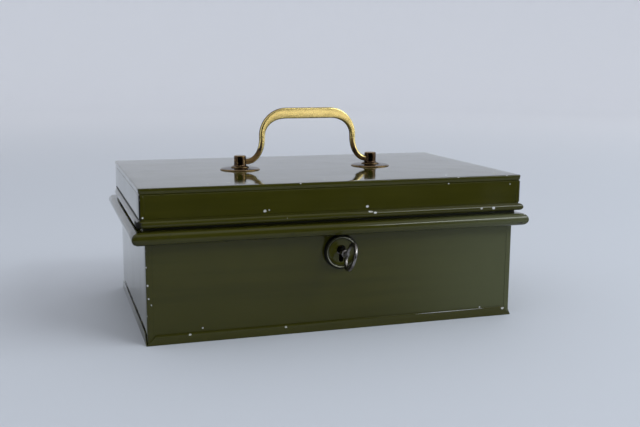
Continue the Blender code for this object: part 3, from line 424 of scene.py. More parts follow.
def cut_or_join(mesh, others, operation):
    """The bmesh after a Boolean with each other bmesh."""
    target = solid_from(mesh, "work")
    helpers = [solid_from(other, "work_with") for other in others]
    for other in helpers:
        step = target.modifiers.new("step", "BOOLEAN")
        step.operation, step.object, step.solver = operation, other, "EXACT"
    evaluated = target.evaluated_get(bpy.context.evaluated_depsgraph_get())
    made = bmesh.new()
    made.from_mesh(evaluated.to_mesh())
    evaluated.to_mesh_clear()
    for obj in [target, *helpers]:
        bpy.data.objects.remove(obj)
    return made


def softened(node, body, material, width=0.00016, segments=2):
    """A CAD node's shape with its flat faces made whole and its edges broken."""
    mesh = bmesh.new()
    mesh.from_mesh(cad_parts[node].data)
    bmesh.ops.remove_doubles(mesh, verts=mesh.verts, dist=2e-6)
    bmesh.ops.dissolve_limit(mesh, angle_limit=radians(1), verts=mesh.verts, edges=mesh.edges)
    edges = [e for e in mesh.edges if e.is_manifold and e.calc_face_angle() > radians(34)]
    bmesh.ops.bevel(
        mesh, geom=edges, offset=width, segments=segments, profile=0.6, affect="EDGES", clamp_overlap=True
    )
    return piece(f"{node}_finished", mesh, body, material, [node])


# Sheet-metal rings: a profile of (outward, height) swept round a rounded rectangle


def span(a, b, longest=0.007):
    """Points from a up to b, not counting b, no further apart than longest."""
    steps = max(1, round((Vector(b) - Vector(a)).length / longest))
    return [(a[0] + (b[0] - a[0]) * i / steps, a[1] + (b[1] - a[1]) * i / steps) for i in range(steps)]


def ring_stations(length, depth, lap):
    """Stops round the ring: (side, along, lap share) on a straight, or ("corner", signs, angle)."""
    stops = []
    corners = ((1, -1, -90), (1, 1, 0), (-1, 1, 90), (-1, -1, 180))
    sides = ("front", "right", "back", "left")
    for side, (sx, sy, start) in zip(sides, corners):
        half = length if side in ("front", "back") else depth
        lapped = lap if side in ("front", "back") else 0.0
        inner = half - CORNER_RADIUS - lapped
        steps = round(inner / 0.005)
        along = [inner * (2 * i / steps - 1) for i in range(steps + 1)]
        if lapped:
            stops.append((side, -inner - 0.00012, 1.0))
            stops += [(side, at, 0.0) for at in along]
            stops.append((side, inner + 0.00012, 1.0))
        else:
            stops += [(side, at, 1.0) for at in along[1:-1]]
        stops += [("corner", (sx, sy), start + 90 * i / 6) for i in range(7)]
    return stops


def waver(side_point, amount):
    """The slight unevenness of hand-finished sheet."""
    return amount * noise.noise(side_point * 21.0 + Vector((3.1, 7.7, 1.9)))


def ring(profile, length, depth, lap, beaded=None):
    """Sweeps a closed profile of (outward, height, is_outside, is_wall) round the box."""
    rows = []
    for stop in ring_stations(length, depth, lap):
        row = []
        for out, z, outside, wall in profile:
            radius = CORNER_RADIUS if outside else CORNER_RADIUS - SHEET
            if beaded is not None and wall == "bead":
                out = LID_X - length + (out - (LID_X - length)) * beaded(stop)
            if wall == "wall" and stop[0] != "corner":
                out -= LAP_STEP * (1 - stop[2])
            if stop[0] == "corner":
                (sx, sy), turn = stop[1], radians(stop[2])
                x = sx * (length + out - radius) + radius * cos(turn)
                y = sy * (depth + out - radius) + radius * sin(turn)
            else:
                side, at, _ = stop
                place = {"front": (at, -1), "back": (-at, 1), "right": (1, at), "left": (-1, -at)}[side]
                if side in ("front", "back"):
                    y = place[1] * (depth + out)
                    x = place[0]
                    if wall == "wall":
                        y += place[1] * waver(Vector((x, y, z)), 0.00003)
                else:
                    x = place[0] * (length + out)
                    y = place[1]
                    if wall == "wall":
                        x += place[0] * waver(Vector((x, y, z)), 0.00002)
            row.append((x, y, z))
        rows.append(row)
    return grid(rows, round_rows=True, round_columns=True)


def marked(points, outside, wall):
    return [(out, z, outside, wall) for out, z in points]


def near(value, target, width):
    return max(0.0, 1 - abs(value - target) / width)


def corner_worn(co, half_x, half_y):
    """1 on the vertical corners, 0 a few millimetres from them."""
    away = max(half_x - abs(co.x), half_y - abs(co.y))
    return max(0.0, 1 - away / 0.0022)


def keyhole_outline(grow):
    radius = KEYHOLE_RADIUS + grow
    half = KEYHOLE_SLOT / 2 + grow
    shoulder = -90 + atan2(half, (radius**2 - half**2) ** 0.5) * 180 / pi
    outline = arc((0, KEYHOLE_Z), radius, shoulder, 180 - shoulder, 30)
    low = KEYHOLE_Z - KEYHOLE_DROP + KEYHOLE_SLOT / 2
    return outline + arc((0, low), half, 180, 360, 12)


def keyhole_cutter(grow, front, back):
    return grid([[(x, y, z) for x, z in keyhole_outline(grow)] for y in (front, back)], round_columns=True)


def make_body():
    flat = BEAD_REACH - BEAD_HEIGHT / 2
    top = BEAD_BOTTOM + BEAD_HEIGHT
    middle = BEAD_BOTTOM + BEAD_HEIGHT / 2
    bead = arc((flat, middle), BEAD_HEIGHT / 2, -90, 90, 22)
    profile = marked(span((0, WALL_FOOT), (0, BEAD_BOTTOM - 0.0005)), True, "wall")
    profile += marked(arc((0.0005, BEAD_BOTTOM - 0.0005), 0.0005, 180, 90, 4), True, "fold")
    profile += marked(bead, True, "fold")
    profile += marked(arc((NECK_STEP + 0.0005, top + 0.0005), 0.0005, 270, 180, 4), True, "fold")
    profile += marked([(NECK_STEP, NECK_TOP - 0.0002), (NECK_STEP - 0.0002, NECK_TOP)], True, "fold")
    inner = NECK_STEP - SHEET
    profile += marked([(inner + 0.0002, NECK_TOP), (inner, NECK_TOP - 0.0002), (inner, top)], False, "fold")
    inside = arc((flat, middle), BEAD_HEIGHT / 2 - SHEET, 90, -90, 14)
    profile += marked(inside, False, "fold")
    profile += marked([(-SHEET, BEAD_BOTTOM + SHEET / 2)], False, "fold")
    profile += marked(span((-SHEET, BEAD_BOTTOM - 0.001), (-SHEET, WALL_FOOT)), False, "wall")
    profile += marked([(-SHEET, WALL_FOOT)], False, "wall")
    mesh = ring(profile, HALF_X, HALF_Y, BODY_LAP)
    mesh = cut_or_join(mesh, [keyhole_cutter(0.0006, -HALF_Y - 0.001, -HALF_Y + 0.002)], "DIFFERENCE")

    def edge(co):
        crest = near(max(abs(co.x) - HALF_X, abs(co.y) - HALF_Y), BEAD_REACH, 0.0022) * 0.8
        corner = corner_worn(co, HALF_X, HALF_Y) * 0.7
        tip = max(0.0, min(abs(co.x) - HALF_X, abs(co.y) - HALF_Y)) / BEAD_REACH
        return max(crest, corner, min(1.0, tip), near(co.z, NECK_TOP, 0.0015))

    def painted_shade(co):
        """Painted shade on the neck, which the lid covers, and a little on the bead's four tips."""
        tip = min(abs(co.x) - HALF_X, abs(co.y) - HALF_Y) / BEAD_REACH
        neck = 0.6 if top + 0.0002 < co.z < NECK_TOP - 0.0008 else 0.0
        return max(neck, 0.35 * min(1.0, max(0.0, tip * 3)))

    def painted_light(co):
        """Painted light: paler towards the right end of the front, where more light falls."""
        share = min(1.0, max(0.0, (co.x - 0.01) / 0.12))
        return share * share * (3 - 2 * share) if co.y < 0.001 - HALF_Y else 0.0

    nodes = ["body_front", "body_back", "body_left_end", "body_right_end"]
    marks = {"edge": edge, "painted_shade": painted_shade, "painted_light": painted_light}
    return piece("body_walls", mesh, "body", ENAMEL, nodes, attributes=marks)


def make_lid_walls():
    over = LID_X - HALF_X
    step_in = over - LID_JOGGLE
    joggle = LID_TOP - LID_RIM - GAP
    bead_r = LID_BEAD_HEIGHT / 2
    flat = over + LID_BEAD_REACH - bead_r
    profile = marked([(over - SHEET, LID_FOOT + 0.0002), (over - SHEET + 0.0002, LID_FOOT)], False, "fold")
    profile += marked([(over, LID_FOOT)], True, "bead")
    profile += marked(arc((flat, LID_FOOT + bead_r), bead_r, -90, 90, 16), True, "bead")
    groove = LID_FOOT + LID_BEAD_HEIGHT
    profile += marked([(over - 0.0004, groove + 0.0002), (over - 0.0004, groove + 0.0010)], True, "fold")
    profile += marked(
        span((over, groove + 0.0013), (over, joggle - LID_JOGGLE)), True, "wall"
    )
    profile += marked([(over, joggle - LID_JOGGLE), (step_in, joggle)], True, "fold")
    profile += marked([(step_in, LID_CEILING - GAP), (step_in - SHEET, LID_CEILING - GAP)], False, "fold")
    profile += marked([(step_in - SHEET, joggle), (over - SHEET, joggle - LID_JOGGLE)], False, "fold")
    inside = span((over - SHEET, joggle - LID_JOGGLE - 0.001), (over - SHEET, LID_FOOT + 0.001))
    profile += marked(inside, False, "wall")

    def beaded(stop):
        """The wired bead goes along the front and both ends, and dies away before the back."""
        if stop[0] == "back" or (stop[0] == "corner" and stop[1][1] > 0):
            return 0.0
        if stop[0] in ("left", "right"):
            at = stop[1] if stop[0] == "right" else -stop[1]
            return min(1.0, max(0.0, (HALF_Y - CORNER_RADIUS - at) / 0.004)) ** 0.5
        return 1.0

    mesh = ring(profile, HALF_X, HALF_Y, LID_LAP - over, beaded)

    def edge(co):
        crest = near(max(abs(co.x) - LID_X, abs(co.y) - LID_Y), LID_BEAD_REACH, 0.0016) * 0.85
        return max(crest, corner_worn(co, LID_X, LID_Y) * 0.7)

    def painted_shade(co):
        """Painted shade on the bead's left ends, away from the light, and in the groove over it; darker
        front corner folds.
        """
        end = co.x < 0 and min(abs(co.x) - LID_X, abs(co.y) - LID_Y) > 0.0001
        hollow = near(co.z, groove + 0.0006, 0.0009) * (1.6 if abs(co.x) > LID_X - 0.0006 else 0.5)
        strip = max(abs(abs(co.x) - LID_X), abs(-LID_Y - co.y)) < 0.0009 and co.z > groove
        return max(float(end), min(1.0, hollow), 0.9 * strip)

    nodes = ["lid_front", "lid_back", "lid_left_end", "lid_right_end"]
    marks = {"edge": edge, "painted_shade": painted_shade}
    return piece("lid_walls", mesh, "lid", ENAMEL, nodes, sharp=25, attributes=marks)


def make_lid_top():
    """Shallow pan with a turned-down rim, swept inwards from the rim to the middle."""
    lip = GAP
    under = GAP - LID_JOGGLE
    rim = LID_TOP - LID_RIM
    bend = 0.0008
    profile = [(-0.012, LID_CEILING), (under - 0.0006, LID_CEILING), (under - 0.0006, rim + 0.0002)]
    profile += [(under, rim), (lip - 0.0005, rim), (lip - 0.00035, rim + 0.00015), (lip, LID_TOP - bend)]
    profile += arc((lip - bend, LID_TOP - bend), bend, 0, 90, 6)[1:]
    profile += [(-0.004, LID_TOP), (-0.012, LID_TOP)]
    rows = []
    for stop in ring_stations(LID_X, LID_Y, 0.0):
        row = []
        for out, z in profile:
            radius = CORNER_RADIUS + 0.0004 if out > -0.003 else CORNER_RADIUS
            if stop[0] == "corner":
                (sx, sy), turn = stop[1], radians(stop[2])
                x = sx * (LID_X + out - radius) + radius * cos(turn)
                y = sy * (LID_Y + out - radius) + radius * sin(turn)
            else:
                side, at, _ = stop
                half = (LID_X if side in ("front", "back") else LID_Y) + out - radius
                at = max(-half, min(half, at))
                x = {"front": at, "back": -at, "right": LID_X + out, "left": -LID_X - out}[side]
                y = {"front": -LID_Y - out, "back": LID_Y + out, "right": at, "left": -at}[side]
            row.append((x, y, z))
        rows.append(row)
    mesh = grid(rows, round_rows=True)
    bmesh.ops.remove_doubles(mesh, verts=mesh.verts, dist=1e-6)
    for z in (LID_TOP, LID_CEILING):
        rim_edges = [e for e in mesh.edges if e.is_boundary and abs(e.verts[0].co.z - z) < 1e-6]
        bmesh.ops.contextual_create(mesh, geom=rim_edges)

    def edge(co):
        away = max(abs(co.x) - LID_X, abs(co.y) - LID_Y)
        share = 0.9 if co.z < LID_TOP - 0.0001 else 0.2
        return share * near(away, lip, 0.0022) * near(co.z, LID_TOP, 0.0022)

    return piece("lid_panel", mesh, "lid", ENAMEL, ["lid_top"], attributes={"edge": edge})


# Handle


def handle_path():
    """Half of the handle as (x, z, direction, width, roundness), from the bar's middle to its post."""
    leg_x = HANDLE_WIDTH / 2 - HANDLE_LEG / 2
    rise = HANDLE_TOP - HANDLE_BAR / 2 - PIVOT_Z
    arc_x = HANDLE_WIDTH / 2 - HANDLE_CORNER
    arc_z = HANDLE_TOP - HANDLE_CORNER
    mouth = POST_X - POST_RADIUS
    foot = mouth - leg_x
    stops = [(arc_x * i / 5, PIVOT_Z + rise, 0.0, HANDLE_BAR, 0.0) for i in range(5)]
    for i in range(25):
        share = i / 24
        turn = radians(90 - 90 * share)
        ease = share * share * (3 - 2 * share)
        width = HANDLE_BAR + (HANDLE_LEG - HANDLE_BAR) * ease
        reach = HANDLE_CORNER - width / 2
        x, z = arc_x + reach * cos(turn), arc_z + reach * sin(turn)
        stops.append((x, z, turn - pi / 2, width, ease * 0.6))
    low = PIVOT_Z + HANDLE_FOOT_RISE
    for i in range(1, 6):
        z = arc_z + (low - arc_z) * i / 6
        stops.append((leg_x, z, -pi / 2, HANDLE_LEG, 0.6 + 0.2 * i / 6))
    for i in range(25):
        turn = radians(180 + 90 * i / 24)
        x = mouth + foot * cos(turn)
        z = low + HANDLE_FOOT_RISE * sin(turn)
        direction = atan2(HANDLE_FOOT_RISE * cos(turn), -foot * sin(turn))
        stops.append((x, z, direction, HANDLE_LEG, 0.8 + 0.2 * i / 24))
    stops.append((POST_X - 0.0010, PIVOT_Z, 0.0, HANDLE_LEG, 1.0))
    return stops


def rounded_section(width, thick, corner, steps=5):
    """Rounded rectangle as (across, through)."""
    a, b = width / 2 - corner, thick / 2 - corner
    points = []
    for cx, cy, start in ((a, b, 0), (-a, b, 90), (-a, -b, 180), (a, -b, 270)):
        points += arc((cx, cy), corner, start, start + 90, steps)
    return points


def make_handle():
    rows = []
    half = handle_path()
    whole = [(-x, z, -turn, w, r, -1) for x, z, turn, w, r in half[:0:-1]]
    whole += [(*stop, 1) for stop in half]
    patina = []
    for x, z, turn, width, roundness, sign in whole:
        thick = HANDLE_THICKNESS + (HANDLE_LEG - HANDLE_THICKNESS) * roundness
        limit = min(width, thick) / 2
        corner = 0.0008 + (limit * 0.98 - 0.0008) * roundness
        across = Vector((-sin(turn), 0, cos(turn)))
        row = []
        for u, v in rounded_section(width, thick, corner):
            row.append(Vector((x + HANDLE_SHIFT, 0, z)) + u * across + Vector((0, v, 0)))
            on_edge = max(0.0, abs(u) / (width / 2) - 0.86) / 0.14
            low = min(1.0, max(0.0, (HANDLE_TOP - 0.012 - z) / 0.020))
            off_streak = abs(u / (width / 2) + 0.35 * sign)
            streak = max(0.0, 1 - off_streak / (0.30 + 0.60 * low)) if v < 0 else 0.35
            patina.append(max(0.86 * on_edge, low * (0.36 + 0.95 * streak)))
        rows.append(row)
    mesh = grid(rows, round_columns=True)
    obj = piece("handle_bail", mesh, "handle", BRASS, ["handle"], sharp=60)
    layer = obj.data.attributes.new("patina", "FLOAT", "POINT")
    layer.data.foreach_set("value", patina)
    return obj


def make_posts():
    rose_low = LID_TOP + GAP / 3
    rose_top = LID_TOP + GAP + ROSE_HEIGHT
    for label, sign in (("left", -1), ("right", 1)):
        x = sign * POST_X
        up = facing((0, 0, 1), (x, 0, 0))
        outline = [(0.0020, BOX[f"post_{label}"][0].z), (0.0020, rose_top)]
        outline += [(POST_FOOT_RADIUS, rose_top), (POST_FOOT_RADIUS, rose_top + 0.0006)]
        outline += [(POST_RADIUS + 0.0003, rose_top + 0.0014), (POST_RADIUS, rose_top + 0.0022)]
        outline += [(POST_RADIUS, POST_TOP - 0.0004), (POST_RADIUS - 0.0007, POST_TOP), (0.0, POST_TOP)]
        profile = [(0.0, outline[0][1])] + rounded(outline, 0.0004, 4)
        post = lathe(profile, up, 64)
        bore = lathe(
            [(0.0, 0.0), (HANDLE_LEG / 2 + GAP, 0.0), (HANDLE_LEG / 2 + GAP, 0.0055), (0.0, 0.0055)],
            facing((sign, 0, 0), (x - sign * (POST_RADIUS + 0.0006), 0, PIVOT_Z)),
            32,
        )

        def worn(co, x=x):
            away = (co - Vector((x, 0, co.z))).length
            return near(co.z, POST_TOP, 0.0008) * 0.8 + near(away, POST_FOOT_RADIUS, 0.0006) * 0.5

        mesh = cut_or_join(post, [bore], "DIFFERENCE")
        node = f"post_{label}"
        piece(f"{node}_turned", mesh, "lid", BRONZE, [node], attributes={"edge": worn})
        outline = [(0.0022, rose_low), (ROSE_RADIUS, rose_low), (ROSE_RADIUS, rose_low + 0.00035)]
        outline += [(ROSE_RADIUS - 0.0010, rose_low + 0.0008), (0.0088, rose_top - 0.0002)]
        outline += [(0.0075, rose_top), (0.0022, rose_top)]
        profile = rounded(outline, 0.0004, 3)

        def rim(co, x=x):
            return near((co - Vector((x, 0, co.z))).length, ROSE_RADIUS, 0.0010) * 0.9

        node = f"rose_{label}"
        rose = lathe(profile, up, 96)
        piece(f"{node}_dished", rose, "lid", BRONZE, [node], attributes={"edge": rim})


# Lock and key


def make_escutcheon():
    radius, depth = ESCUTCHEON_RADIUS, ESCUTCHEON_DEPTH
    outline = [(0.0, depth - 0.0017), (radius - 0.0040, depth - 0.0015)]
    outline += [(radius - 0.0021, depth - 0.0012), (radius - 0.0016, depth - 0.0001)]
    outline += [(radius - 0.0010, depth), (radius - 0.0003, depth - 0.0003)]
    outline += [(radius, depth - 0.0010), (radius, 0.0001), (radius - 0.0008, 0.0001)]
    outline += [(radius - 0.0008, depth - 0.0024), (radius - 0.0026, depth - 0.0026), (0.0, depth - 0.0026)]
    mesh = lathe(rounded(outline, 0.0004, 3), facing((0, -1, 0), (0, -HALF_Y, ESCUTCHEON_Z)), 96)
    cutter = keyhole_cutter(0.0, -HALF_Y - depth - 0.001, -HALF_Y - 0.0005)
    mesh = cut_or_join(mesh, [cutter], "DIFFERENCE")

    def edge(co):
        return near((co - Vector((0, co.y, ESCUTCHEON_Z))).length, radius - 0.0010, 0.0009) * 0.8

    # Painted shade round the cup's side and in the hollow inside its lip.
    def painted_shade(co):
        away = (co - Vector((0, co.y, ESCUTCHEON_Z))).length
        return max(near(away, radius, 0.0014) * 1.6, 0.7 * near(away, radius - 0.0023, 0.0006))

    marks = {"edge": edge, "painted_shade": painted_shade}
    piece("escutcheon_cup", mesh, "body", ENAMEL, ["escutcheon"], attributes=marks)
    outline = arc((radius - 0.0015, depth - 0.00030), 0.00034, 0, 330, 11)
    rim = lathe(outline, facing((0, -1, 0), (0, -HALF_Y, ESCUTCHEON_Z)), 96)
    piece("escutcheon_rim", rim, "body", RIM_BRASS, sharp=80)


def turned_with_key(mesh):
    """Turns a mesh about the key's axis by the angle that the key stands at."""
    axis = Matrix.Translation((0, 0, KEY_Z))
    turn = axis @ Matrix.Rotation(KEY_TURN, 4, "Y") @ axis.inverted()
    bmesh.ops.transform(mesh, verts=mesh.verts, matrix=turn)
    return mesh


def make_key():
    bow_y = KEY_FRONT + BOW_WIRE + BOW_LONG
    shank = bow_y + BOW_LONG - BOW_WIRE / 2
    wide = SHANK_RADIUS * 1.3
    outline = [(0.0, shank), (SHANK_RADIUS * 0.78, shank), (SHANK_RADIUS * 0.92, shank + 0.0022)]
    outline += [(wide, shank + 0.0028), (wide, shank + 0.0040), (SHANK_RADIUS, shank + 0.0044)]
    outline += [(SHANK_RADIUS, KEY_BACK - 0.0004), (SHANK_RADIUS - 0.0004, KEY_BACK), (0.0, KEY_BACK)]
    bar = lathe(rounded(outline, 0.0003, 3), facing((0, 1, 0), (0, 0, KEY_Z)), 40)
    rows = []
    for i in range(72):
        turn = 2 * pi * i / 72
        out = Vector((0, BOW_LONG * cos(turn), BOW_WIDE * sin(turn)))
        normal = Vector((0, cos(turn) / BOW_LONG, sin(turn) / BOW_WIDE)).normalized()
        middle = Vector((0, bow_y, KEY_Z)) + out
        section = rounded_section(BOW_WIRE * 2.5, BOW_WIRE * 1.6, BOW_WIRE * 0.55, 4)
        inward = BOW_WIRE * 0.25
        rows.append([middle + normal * (u - inward) + Vector((v, 0, 0)) for u, v in section])
    bow = turned_with_key(grid(rows, round_rows=True, round_columns=True))
    bit_low = KEY_Z - 0.0064
    front, back = KEY_BACK - 0.0059, KEY_BACK - 0.0003
    outline = [(front, KEY_Z), (front, bit_low), (back, bit_low), (back, KEY_Z - 0.0044)]
    outline += [(back - 0.0018, KEY_Z - 0.0044), (back - 0.0018, KEY_Z - 0.0028), (back, KEY_Z - 0.0028)]
    outline += [(back, KEY_Z)]
    sides = [[(x, y, z) for y, z in outline] for x in (-0.0013, 0.0013)]
    bit = turned_with_key(grid(sides, round_columns=True))
    mesh = cut_or_join(bar, [bow, bit], "UNION")
    piece("key_body", mesh, "key", KEY_STEEL, ["key"], sharp=40)


# Inside, underneath and at the back


def make_the_rest():
    softened("base_pan", "body", ENAMEL, 0.00022)
    for side in ("left", "right"):
        softened(f"tray_ledge_{side}", "body", INNER)
    for node in ("lock_plate", "lock_case"):
        softened(node, "body", PLATED)
    softened("bolt_spring", "body", LOCK_BRASS, 0.00008)
    softened("lock_bolt", "bolt", PLATED)
    softened("lid_staple", "lid", PLATED)
    for node in ["tray_pan", "tray_long_divider"] + [f"tray_cross_divider_{i}" for i in range(1, 5)]:
        softened(node, "tray", INNER, 0.00018)
    for side in ("left", "right"):
        softened(f"hinge_body_leaf_{side}", "body", ENAMEL, 0.00014)
        softened(f"hinge_lid_leaf_{side}", "lid", ENAMEL, 0.00014)
        softened(f"tray_bracket_{side}", "tray", PLATED, 0.00014)
        softened(f"post_nut_{side}", "lid", PLATED)
        round_piece(f"hinge_pin_{side}", "body", ENAMEL, "x", 0.00015)
        round_piece(f"post_washer_{side}", "lid", PLATED, "z", 0.00015, 0.0023)
        for end in ("outer", "inner"):
            rivet(f"hinge_rivet_{side}_{end}", "lid", ENAMEL, -1)
        for level in ("lower", "upper"):
            rivet(f"lock_rivet_{side}_{level}", "body", PLATED, 1)
        make_pull(side)
    round_piece("lock_ward", "body", LOCK_BRASS, "y", 0.00012, 0.0032)


def round_piece(node, body, material, axis, bevel, hole=0.0):
    """A turned pin, washer or ring that fills its CAD node's box."""
    low, high = BOX[node]
    middle = (low + high) / 2
    half = (high - low) / 2
    direction = {"x": Vector((1, 0, 0)), "y": Vector((0, 1, 0)), "z": Vector((0, 0, 1))}[axis]
    radius = half.z if axis != "z" else half.x
    reach = abs(half.dot(direction))
    outline = [(hole, -reach), (radius, -reach), (radius, reach), (hole, reach)]
    mesh = lathe(rounded(outline, bevel, 3), facing(direction, middle), 40)
    return piece(f"{node}_turned", mesh, body, material, [node])


def rivet(node, body, material, head):
    """A rivet along Y with its dome at the far end. For head -1 its tail is spread as well."""
    low, high = BOX[node]
    middle = (low + high) / 2
    shank = 0.0009
    widest = (high.x - low.x) / 2
    length = high.y - low.y
    dome = 0.0011 if head < 0 else 0.0010
    outline = [(0.0, 0.0), (shank * (1.2 if head < 0 else 1.0), 0.0)]
    if head < 0:
        outline += [(shank * 1.7, 0.0007), (shank, 0.0007)]
    outline += [(shank, length - dome), (widest, length - dome)]
    outline += [(widest * 0.92, length - dome * 0.55), (widest * 0.62, length - dome * 0.16), (0.0, length)]
    place = facing((0, 1, 0), (middle.x, low.y, middle.z))
    return piece(f"{node}_set", lathe(rounded(outline, 0.0002, 3), place, 32), body, material, [node])


def make_pull(side):
    """Wire pull that hangs inside the tray's end, bent like its CAD node."""
    low, high = BOX[f"tray_pull_{side}"]
    x = (low.x + high.x) / 2
    wire = (high.x - low.x) / 2
    middle = (low.y + high.y) / 2
    half = (high.y - low.y) / 2 - 0.0030
    top, bottom = high.z - wire, low.z + wire
    corner = 0.0025
    path = [(half + 0.0030, top), (half + 0.0012, top)]
    path += arc((half + 0.0012, top - 0.0012), 0.0012, 90, 180, 6)[1:]
    path += arc((half - corner, bottom + corner), corner, 0, -90, 8)
    path += [(-a, b) for a, b in path[::-1]]
    points = [Vector((x, middle + a, b)) for a, b in path]
    rows = []
    for i, point in enumerate(points):
        before, after = points[max(0, i - 1)], points[min(len(points) - 1, i + 1)]
        across = (after - before).normalized().cross(Vector((1, 0, 0)))
        turns = [2 * pi * k / 16 for k in range(16)]
        rows.append([point + wire * (cos(t) * across + sin(t) * Vector((1, 0, 0))) for t in turns])
    node = f"tray_pull_{side}"
    piece(f"{node}_bent", grid(rows, round_columns=True), f"pull_{side}", PLATED, [node])


# Chips in the enamel, and one painted highlight line: (x, z, size, width to height)

LID_CHIPS = [
    (-0.0517, 0.0831, 0.00085, 1.2),
    (-0.0490, 0.0836, 0.00045, 1.0),
    (0.0175, 0.0830, 0.00085, 1.0),
    (0.0192, 0.0797, 0.00065, 2.4),
    (0.0222, 0.0790, 0.00070, 1.6),
    (-0.1283, 0.0823, 0.00065, 0.8),
    (0.0998, 0.0783, 0.00060, 1.4),
    (0.1090, 0.0782, 0.00090, 1.2),
    (0.1222, 0.0940, 0.00040, 1.0),
    (0.0757, 0.0960, 0.00040, 1.2),
    (-0.0880, 0.1019, 0.00040, 2.2),
    (-0.0750, 0.1020, 0.00030, 3.0),
    (-0.0620, 0.1019, 0.00035, 2.5),
    (-0.0120, 0.1018, 0.00040, 1.6),
    (0.0735, 0.1019, 0.00040, 2.5),
    (0.1100, 0.1018, 0.00055, 2.8),
]
BODY_CHIPS = [
    (-0.0921, 0.0088, 0.00055, 1.0),
    (0.1040, 0.0070, 0.00060, 1.0),
    (-0.1240, 0.0263, 0.00050, 0.7),
]
PAN_CHIPS_AND_HIGHLIGHT = [
    (-0.1004, 0.0055, 0.00065, 1.3),
    (-0.0374, 0.0050, 0.00070, 1.3),
    (0.1215, 0.0050, 0.00080, 1.6),
    # Not a chip: a long thin pale line along the rim's top edge, a painted highlight.
    (0.0820, 0.0061, 0.00015, 170.0),
]


def add_flake(mesh, centre, normal, size, stretch, seed):
    """An irregular fleck, domed by a hair, lying on the surface."""
    side = Vector((1, 0, 0))
    up = normal.cross(side).normalized()
    if up.z < 0:
        up = -up
    ring_points = []
    for i in range(11):
        turn = 2 * pi * i / 11
        reach = size * (1 + 0.45 * noise.noise(Vector((seed * 3.7 + cos(turn), sin(turn), seed))))
        ring_points.append(centre + side * (reach * stretch * cos(turn)) + up * (reach * sin(turn)))
    low = [mesh.verts.new(point - normal * 0.00010) for point in ring_points]
    high = [mesh.verts.new(point + normal * 0.00004) for point in ring_points]
    for i in range(11):
        j = (i + 1) % 11
        mesh.faces.new((low[i], low[j], high[j], high[i]))
    mesh.faces.new(low[::-1])
    mesh.faces.new(high)


def make_chips():
    front = Vector((0, -1, 0))
    for name, chips, body, face in (
        ("lid_chips", LID_CHIPS, "lid", -LID_Y),
        ("body_chips", BODY_CHIPS, "body", -HALF_Y),
        ("pan_chips_and_highlight", PAN_CHIPS_AND_HIGHLIGHT, "body", BOX["base_pan"][0].y),
    ):
        mesh = bmesh.new()
        for seed, (x, z, size, stretch) in enumerate(chips):
            centre, normal = Vector((x, face, z)), front
            if body == "lid" and z > LID_TOP - LID_RIM:
                centre.y -= GAP
            if body == "lid" and z < LID_FOOT + LID_BEAD_HEIGHT:
                bead_r = LID_BEAD_HEIGHT / 2
                rise = max(-0.95, min(0.95, (z - LID_FOOT - bead_r) / bead_r))
                normal = Vector((0, -((1 - rise * rise) ** 0.5), rise))
                axis = Vector((x, -LID_Y - LID_BEAD_REACH + bead_r, LID_FOOT + bead_r))
                centre = axis + normal * bead_r
            add_flake(mesh, centre, normal, size, stretch, seed + len(chips))
        piece(name, mesh, body, PRIMER_AND_HIGHLIGHT)


# Studio


def make_stage():
    flat, bend, wall = 2.6, 0.9, 1.2
    profile = [(0.0, 0.0), (0.4, 0.0), (1.2, 0.0), (flat, 0.0)]
    profile += arc((flat, bend), bend, -90, 0, 16)[1:] + [(flat + bend, bend + wall)]
    mesh = bmesh.new()
    columns = []
    for i in range(96):
        turn = 2 * pi * i / 96
        columns.append([mesh.verts.new((r * cos(turn), r * sin(turn), z)) for r, z in profile[1:]])
    for i, this in enumerate(columns):
        after = columns[(i + 1) % 96]
        for j in range(len(this) - 1):
            mesh.faces.new((this[j], after[j], after[j + 1], this[j + 1]))
    mesh.faces.new([column[0] for column in columns])
    bmesh.ops.recalc_face_normals(mesh, faces=mesh.faces)
    data = bpy.data.meshes.new("backdrop")
    mesh.to_mesh(data)
    mesh.free()
    data.shade_smooth()
    data.materials.append(backdrop_material())
    floor = bpy.data.objects.new("backdrop", data)
    scene.collection.objects.link(floor)

    # A black flag keeps the dark side of the room in the front's reflection. Only mirror rays meet it.
    right = [(0.70, -0.47, 0.004), (0.70, -0.80, 0.004), (0.62, -0.95, 0.14), (0.35, -0.95, 1.20)]
    mesh = grid([[(-1.4, y, z) for _, y, z in right], right])
    data = bpy.data.meshes.new("flag")
    mesh.to_mesh(data)
    mesh.free()
    flag_paint = bpy.data.materials.new("flag_black")
    flag_paint.use_nodes = True
    shader = flag_paint.node_tree.nodes["Principled BSDF"]
    shader.inputs["Base Color"].default_value = (0.01, 0.01, 0.01, 1)
    shader.inputs["Roughness"].default_value = 1.0
    shader.inputs["Specular IOR Level"].default_value = 0.0
    data.materials.append(flag_paint)
    flag = bpy.data.objects.new("flag", data)
    scene.collection.objects.link(flag)
    flag.visible_camera = False
    flag.visible_diffuse = False
    flag.visible_shadow = False


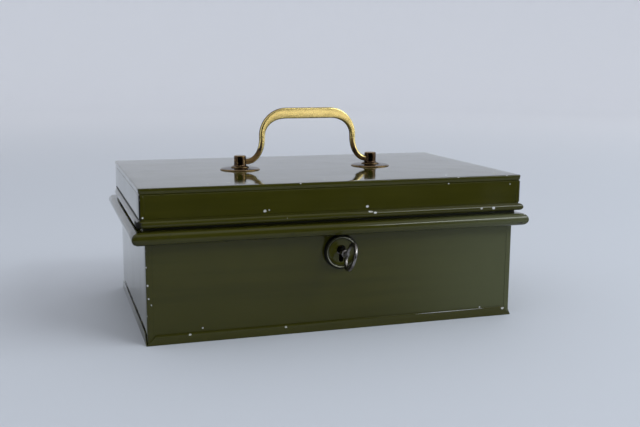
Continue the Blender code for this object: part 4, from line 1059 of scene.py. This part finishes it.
def area_light(name, place, aim, size, power, colour):
    data = bpy.data.lights.new(name, "AREA")
    data.shape = "RECTANGLE"
    data.size, data.size_y = size
    data.energy = power
    data.color = colour
    obj = bpy.data.objects.new(name, data)
    obj.location = place
    obj.rotation_mode = "QUATERNION"
    obj.rotation_quaternion = (Vector(aim) - Vector(place)).to_track_quat("-Z", "Y")
    scene.collection.objects.link(obj)
    return obj


def make_lights(handle):
    world = bpy.data.worlds.new("room")
    world.use_nodes = True
    sky = world.node_tree.nodes["Background"]
    sky.inputs["Color"].default_value = (0.94, 0.965, 1.0, 1)
    sky.inputs["Strength"].default_value = 0.775
    scene.world = world
    area_light("window_low", (1.5, -0.6, 0.35), (0, 0, 0.06), (0.5, 0.5), 2.2, (0.95, 0.98, 1.0))
    # A reflector card in front, for the handle alone
    card = area_light("card", (0.24, -0.80, 0.115), (0, 0, 0.14), (0.5, 0.17), 0.39, (1.0, 0.97, 0.92))
    receivers = bpy.data.collections.new("card_receivers")
    receivers.objects.link(handle)
    card.light_linking.receiver_collection = receivers
    area_light("window_core", (1.15, -1.45, 1.5), (0, 0, 0.05), (1.0, 0.25), 8, (0.92, 0.97, 1.0))
    area_light("window", (1.9, -1.05, 1.65), (0, 0, 0.05), (2.6, 1.0), 25, (0.88, 0.95, 1.0))


def make_camera():
    data = bpy.data.cameras.new("camera")
    data.lens, data.sensor_width = 50, 36
    camera = bpy.data.objects.new("camera", data)
    camera.location = (-0.1868, -0.62037, 0.17631)
    yaw, pitch, roll = radians(17.651), radians(-9.677), radians(0.305)
    turn = Matrix.Rotation(-yaw, 4, "Z") @ Matrix.Rotation(pi / 2 + pitch, 4, "X")
    camera.rotation_euler = (turn @ Matrix.Rotation(roll, 4, "Z")).to_euler()
    scene.collection.objects.link(camera)
    scene.camera = camera


make_body()
make_lid_walls()
make_lid_top()
handle = make_handle()
make_posts()
make_escutcheon()
make_key()
make_the_rest()
make_chips()
make_stage()
make_lights(handle)
make_camera()
scene.view_settings.view_transform = "Standard"
